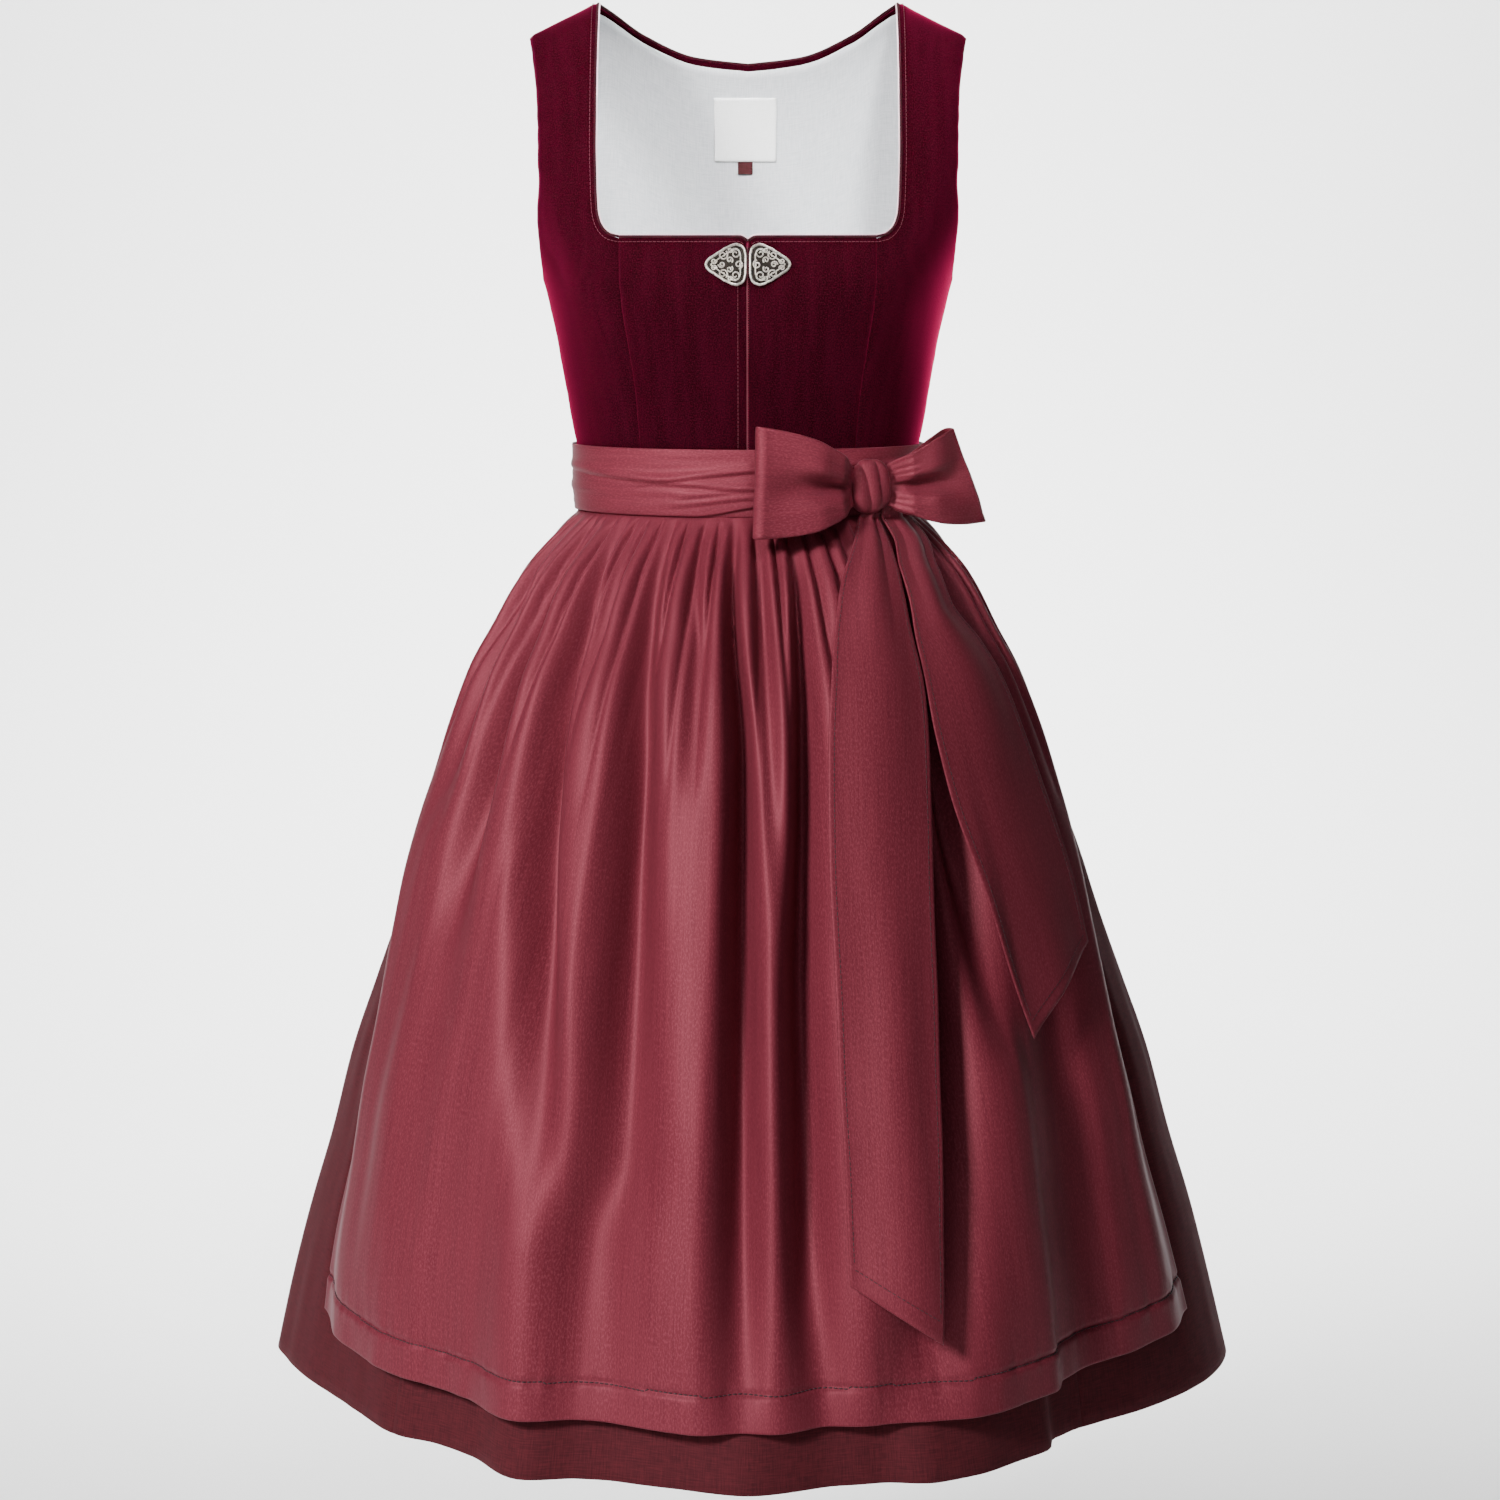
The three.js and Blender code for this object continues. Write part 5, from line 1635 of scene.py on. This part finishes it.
@dataclass
class Tie:
    """The wide tie: wrapped round the waist, knotted in a bow, with two hanging ends."""

    apron: Apron
    thick: float = 1.3
    top: float = -300.0
    bottom: float = -345.0
    rise: float = 9.0
    knot_at: tuple = (82.0, -81.2, -325.0)
    knot_size: tuple = (15.0, 8.6, 18.5)
    knot_facing: float = 32.0
    knot_fold: float = 0.24
    # 2 would be an ellipsoid; more is squarer
    knot_square: float = 2.8
    knot_drift: Swell = Swell(0.5, 0.5, 0.8, 51)
    wrap_swell: Swell = Swell(0.3, 22, 3.2, 42)
    # level, how far the wrap stands off the bodice
    wrap_rows: tuple = ((-300, 3.2), (-305, 3.5), (-318, 4.2), (-332, 5.2), (-350, 5.2))
    # The loops: a deep pleat with a dent along it, and fine pleats at the knot
    loop_drift: Swell = Swell(0.12, 0.5, 0.6, 61)
    pleat: float = 11.0
    dent_at: float = -0.06
    dent_widths: tuple = (0.14, 0.42)
    fine_pleat: float = 1.3
    fine_pleats: float = 4.2
    # The hanging ends: their long waves and their creases
    tail_wave: float = 2.5
    tail_crease: float = 2.2
    tail_drift: Swell = Swell(0.5, 1, 110, 72)
    tail_swell: Swell = Swell(1.2, 0.4, 90, 71)
    # share of the way out, half height, half thickness
    loop_rows: Rows = (
        (0, 12.5, 1.3), (0.1, 17.5, 1.8), (0.27, 23.6, 3.4), (0.5, 30.5, 5.8), (0.8, 35, 6.8),
        (1, 36.5, 6),
    )  # fmt: skip
    fold_share: float = 0.16
    # Each ledge that the folded tie makes round the waist: angle, level, how far it stands out
    wrap_creases: tuple = (
        ((-180, -312, 0), (-150, -314, 1.4), (-72, -317.5, 1), (-52, -320, 1.8), (-33, -322, 2.2),
         (2, -315.5, 2.2), (40, -312, 1.6), (75, -318, 1.2), (120, -322, 1.6), (180, -318, 0)),
        ((-40, -326, 0), (-30, -324, 1.6), (2, -327.5, 2), (50, -325, 1.6), (90, -331, 1), (130, -330, 0)),
        ((-26, -335, 0), (-18, -332.5, 1.4), (2, -329, 0.6), (8, -329, 0)),
        ((-30, -340, 0), (-20, -338.5, 1.6), (2, -333.5, 1.4), (50, -331, 1), (70, -331, 0)),
        ((-180, -330, 0), (-140, -327, 1.4), (-100, -330, 1.4), (-75, -333, 0)),
        ((100, -310, 0), (140, -309, 1.4), (180, -305, 0)),
    )  # fmt: skip
    # level, left edge, right edge, how far it stands off the highest folds
    long_rows: Rows = (
        (-343.5, 37, 44.6, 9), (-355, 32.5, 43.2, 4), (-383, 23, 39.2, 2), (-402, 20, 37.6, 1.6),
        (-437, 16.6, 35.6, 2.2), (-477, 14.3, 33.4, 1.8), (-522, 13.1, 31, 1.4),
        (-584, 12.1, 27.9, 1.2), (-645, 11.9, 26.1, 1.2), (-707, 11.6, 24.4, 1.2),
        (-769, 11.7, 23.2, 1.2), (-857, 11.7, 21.6, 1.2),
    )  # fmt: skip
    short_rows: Rows = (
        (-338, 46, 60, 9.5), (-356, 45, 60, 4), (-378, 40.3, 54, 2.4), (-402, 38.8, 52, 1.8),
        (-428, 37, 56, 1.5), (-458, 35.4, 57.2, 1.3), (-483, 34.9, 57.6, 1.2),
        (-521, 35.3, 58.6, 1.2), (-581, 37.7, 59, 1.2), (-628, 39.5, 58.8, 1.2),
        (-681, 42.6, 58.6, 1.2),
    )  # fmt: skip

    def wrap(self) -> None:
        """The part round the waist, with its creases."""
        out = Curve(self.wrap_rows)
        creases = [curves(rows) for rows in self.wrap_creases]

        def surface(angle: Array, level: Array) -> Array:
            """The outer face.

            Args:
                angle: The angle of each place.
                level: The level of each place.

            Returns:
                The places.
            """
            down = np.clip((self.top - level) / (self.top - self.bottom), 0, 1)
            lift = self.wrap_swell(angle, level) + 1.2
            for line, deep in creases:
                above = level - line(angle)
                lift = lift + deep(angle) * (bell((above - 2.4) / 3) - 0.6 * bell((above + 0.9) / 1.1))
            return FORM.around_waist(angle, level, out(level) + lift * np.sin(np.pi * down) ** 0.5)

        angle = np.linspace(-180, 180, 361)[:-1][None]
        risen = smooth(-20, 12, angle) * (1 - smooth(52, 75, angle))
        low = self.bottom + self.rise * risen
        level = mix(low, self.top, np.linspace(0, 1, 42)[:, None])
        angle = angle + 0 * level
        outer, inner, _ = lay(surface, angle, level, self.thick)
        piece = hang("satin_wrap", (outer, inner), SATIN, "tie_wrap", ring=True, crosswise=True)
        width, length, _ = flat_size(np.concatenate([outer, outer[:, :1]], axis=1))

    def knot(self) -> None:
        """The knot, with slanted folds from top to bottom."""
        rows, columns = 72, 120
        lift = np.linspace(-0.985, 0.985, rows)[:, None]
        turn = np.linspace(0, 2 * np.pi, columns, endpoint=False)[None]
        ring = np.sqrt(1 - lift**2)
        spot = np.stack([ring * np.sin(turn), -ring * np.cos(turn), lift + 0 * turn], -1)
        boxy = (np.abs(spot) ** self.knot_square).sum(-1) ** (-1 / self.knot_square)
        x, z = spot[..., 0], spot[..., 2]
        phase = 3 * np.pi * (x + 0.25 * z) + self.knot_drift(x, z)
        fold = (np.abs(np.cos(phase / 2)) ** 0.7 - 0.6) * (1 - z * z)
        size = mix(1, boxy, 0.5) * (1 + self.knot_fold * fold)
        place = spot * size[..., None] * np.array(self.knot_size)
        face = self.knot_facing * DEGREE
        turned = np.stack(
            [
                place[..., 0] * math.cos(face) - place[..., 1] * math.sin(face),
                place[..., 0] * math.sin(face) + place[..., 1] * math.cos(face),
                place[..., 2],
            ],
            -1,
        ) + np.array(self.knot_at)
        knot = Parts()
        knot.add(turned.reshape(-1, 3), grid_quads(rows, columns, ring=True))
        piece = knot.piece("satin_knot")
        dress(piece, SATIN, "bow_knot")

    def loop(self, side: Side, root: tuple, end: tuple, slant: float, tall: float) -> None:
        """One loop of the bow.

        Args:
            side: Which side of the knot it is on.
            root: Where it leaves the knot.
            end: Where its outer fold is.
            slant: How much less far its top edge reaches than its bottom edge.
            tall: Its height as a share of the table's.
        """
        high, fat = curves(self.loop_rows)
        out = np.array(end[:2]) - np.array(root[:2])
        length = float(np.linalg.norm(out))
        out = out / length
        front = np.array([side.value * out[1], -side.value * out[0]])
        bend = float(fat(1.0))
        loose = Swell(1.6, 0.33, 0.45, 62 + side.value)

        def surface(s: Array, t: Array) -> Array:
            """The outer face.

            Args:
                s: Place along the cloth, 0 at the outer fold and -1 or 1 at the knot.
                t: Place up the loop, from -1 to 1.

            Returns:
                The places.
            """
            away = np.abs(s)
            layer = -np.sign(s) * side.value
            turn = np.minimum(away / self.fold_share, 1) * np.pi / 2
            along = np.where(
                away > self.fold_share,
                (length - bend) * (1 - away) / (1 - self.fold_share),
                length - bend + bend * np.cos(turn),
            )
            side_out = np.where(away > self.fold_share, fat(along / (length - bend)), bend * np.sin(turn))
            across = side_out * layer
            share = np.clip(along / length, 0, 1)
            bent = t + self.loop_drift(share, t)
            dent = bell((bent - self.dent_at) / mix(*self.dent_widths, share))
            pleat = self.pleat * (1 - dent) * smooth(0, 0.2, share) * (1 - smooth(0.36, 0.96, share))
            fine = self.fine_pleat * np.abs(np.sin(self.fine_pleats * np.pi * bent))
            fine = fine * (1 - smooth(0.05, 0.4, share)) * smooth(0, 0.15, share)
            swell = loose(share, t) * smooth(0.1, 0.5, share)
            seated = along * (1 - slant * share * (1 + t) / 2) - 2 * t * t * (1 - share) ** 2
            aside = across + pleat + fine + swell - 1.5 * (1 - share) ** 1.5
            return np.stack(
                [
                    root[0] + out[0] * seated + front[0] * aside,
                    root[1] + out[1] * seated + front[1] * aside,
                    mix(root[2], end[2], share) + t * high(share) * mix(1, tall, share),
                ],
                -1,
            )

        s, t = np.meshgrid(np.linspace(-1, 1, 180), np.linspace(-1, 1, 50))
        outer, inner, _ = lay(surface, s, t, self.thick, 0.0, (0.002, 0.002))
        name = f"bow_loop_{side.name.lower()}"
        piece = hang(f"satin_{name}", (outer, inner), SATIN, name, gathered=True, crosswise=True)
        wide, long, area = flat_size(outer)

    def tail(self, name: str, rows: Rows, cut: tuple[float, float]) -> None:
        """One hanging end.

        Args:
            name: The solid that it stands for.
            rows: Its table.
            cut: The levels of its lower corners, left and right.
        """
        left, right, off = curves(rows)
        top = rows[0][0]

        def surface(angle: Array, level: Array) -> Array:
            """The outer face.

            Args:
                angle: The angle of each place.
                level: The level of each place.

            Returns:
                The places.
            """
            share = (angle - left(level)) / (right(level) - left(level))
            turn = np.cos(2 * np.pi * share)
            wave = self.tail_wave * (1 - turn) * (0.7 + self.tail_drift(0 * share, level))
            near = smooth(-440, -345, level)
            crease = self.tail_crease * near * np.abs(turn) + self.tail_swell(share, level)
            return self.apron.cover(angle, level, self.thick + off(level) + wave + crease)

        share = np.linspace(1, 0, 150)[:, None] ** 1.25
        across = np.linspace(0, 1, 44)[None]
        level = mix(top, mix(cut[0], cut[1], across), share)
        angle = mix(left(level), right(level), across)
        outer, inner, out = lay(surface, angle, level, self.thick)
        piece = hang(f"satin_{name}", (outer, inner), SATIN, name)
        edges = [(slice(4, None), 2), (slice(4, None), -3), (3, slice(2, -2))]
        lines = [(outer[edge], out[edge]) for edge in edges]
        stitches = sew(f"{name}_stitches", BURGUNDY_THREAD, *lines, pitch=3.4, thick=0.24)
        width, length, area = flat_size(outer)

    def make(self) -> None:
        """Makes the tie."""
        self.wrap()
        self.knot()
        self.loop(Side.LEFT, (69.6, -90.3, -325), (3.5, -127, -320), 0.04, 1.0)
        self.loop(Side.RIGHT, (95.2, -73.7, -325), (163, -46, -319), 0.36, 0.87)
        self.tail("tie_tail_long", self.long_rows, (-819, -857))
        self.tail("tie_tail_short", self.short_rows, (-681, -628))


# The studio.


@dataclass
class Studio:
    """A pale sweep, soft lamps and the camera."""

    lens: float = 85.2
    distance: float = 2.5
    elevation: float = 8.0
    target: tuple = (0.0014, 0.0, -0.516)
    floor: float = -1.35
    sweep_reach: float = 9000.0
    sweep_back: float = 2500.0
    sweep_radius: float = 1500.0
    world_strength: float = 0.05
    # name, place, what it faces, size, power, how wide its beam spreads
    lamps: tuple = (
        ("key", (-1.7, -2.3, 0.9), (0, 0, -0.6), 0.6, 182, 180),
        ("fill", (-0.3, -3.4, 0.2), (0, 0, -0.5), 2.0, 18, 180),
        ("neck", (0.35, -1.7, 1.2), (0, 0.05, -0.08), 0.3, 1.7, 18),
        ("backdrop_left", (-1.2, 0.8, 2.4), (-0.3, 3.4, -0.9), 1.6, 120, 92),
        ("backdrop_right", (1.2, 0.8, 2.4), (0.3, 3.4, -0.9), 1.6, 120, 92),
    )

    def sweep(self) -> None:
        """A pale floor that curves up into a backdrop."""
        turn = np.linspace(0, np.pi / 2, 24)
        reach, back, radius = self.sweep_reach, self.sweep_back, self.sweep_radius
        y = np.concatenate([[-reach], back + radius * np.sin(turn), [back + radius]])
        z = np.concatenate([[0], radius * (1 - np.cos(turn)), [reach]]) + self.floor / MM
        x = np.linspace(-reach, reach, 3)
        points = np.stack([np.tile(x, len(y)), np.repeat(y, 3), np.repeat(z, 3)], -1)
        piece = new_piece("pale_sweep", points, grid_quads(len(y), 3))
        made = bpy.data.materials.new("pale_paper")
        made.use_nodes = True
        shader = made.node_tree.nodes["Principled BSDF"]
        shader.inputs["Base Color"].default_value = linear("f4f4f4")
        shader.inputs["Roughness"].default_value = 0.9
        piece.data.materials.append(made)

    def lamp(self, name: str, place: tuple, aim: tuple, size: float, power: float, spread: float) -> None:
        """A square soft lamp.

        Args:
            name: Its name.
            place: Where it stands, in metres.
            aim: What it faces, in metres.
            size: How long its side is, in metres.
            power: Its power in watts.
            spread: How wide its beam spreads, in degrees.
        """
        light = bpy.data.lights.new(name, "AREA")
        light.shape, light.size, light.energy, light.spread = "SQUARE", size, power, spread * DEGREE
        holder = bpy.data.objects.new(name, light)
        holder.location = place
        towards = Vector(aim) - Vector(place)
        holder.rotation_euler = towards.to_track_quat("-Z", "Y").to_euler()
        bpy.context.scene.collection.objects.link(holder)

    def camera(self) -> None:
        """The camera, at the photograph's angle."""
        lens = bpy.data.cameras.new("camera")
        lens.lens, lens.sensor_width = self.lens, 36.0
        holder = bpy.data.objects.new("camera", lens)
        tilt = self.elevation * DEGREE
        ahead = Vector((0, math.cos(tilt), -math.sin(tilt)))
        holder.location = Vector(self.target) - ahead * self.distance
        holder.rotation_euler = ahead.to_track_quat("-Z", "Y").to_euler()
        bpy.context.scene.collection.objects.link(holder)
        bpy.context.scene.camera = holder

    def make(self) -> None:
        """Makes the studio."""
        self.camera()
        self.sweep()
        world = bpy.data.worlds.new("soft_light")
        world.use_nodes = True
        world.node_tree.nodes["Background"].inputs["Color"].default_value = (1, 1, 1, 1)
        world.node_tree.nodes["Background"].inputs["Strength"].default_value = self.world_strength
        bpy.context.scene.world = world
        for lamp in self.lamps:
            self.lamp(*lamp)


def main() -> None:
    """Makes the whole scene in order."""
    logging.basicConfig(level=logging.INFO, format="%(name)s %(message)s")
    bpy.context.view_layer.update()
    Studio().make()
    Bodice().make()
    Clasp().make()
    Fastening().make()
    NeckLabel().make()
    Skirt().make()
    apron = Apron()
    apron.make()
    Tie(apron).make()


if __name__ == "__main__":
    main()
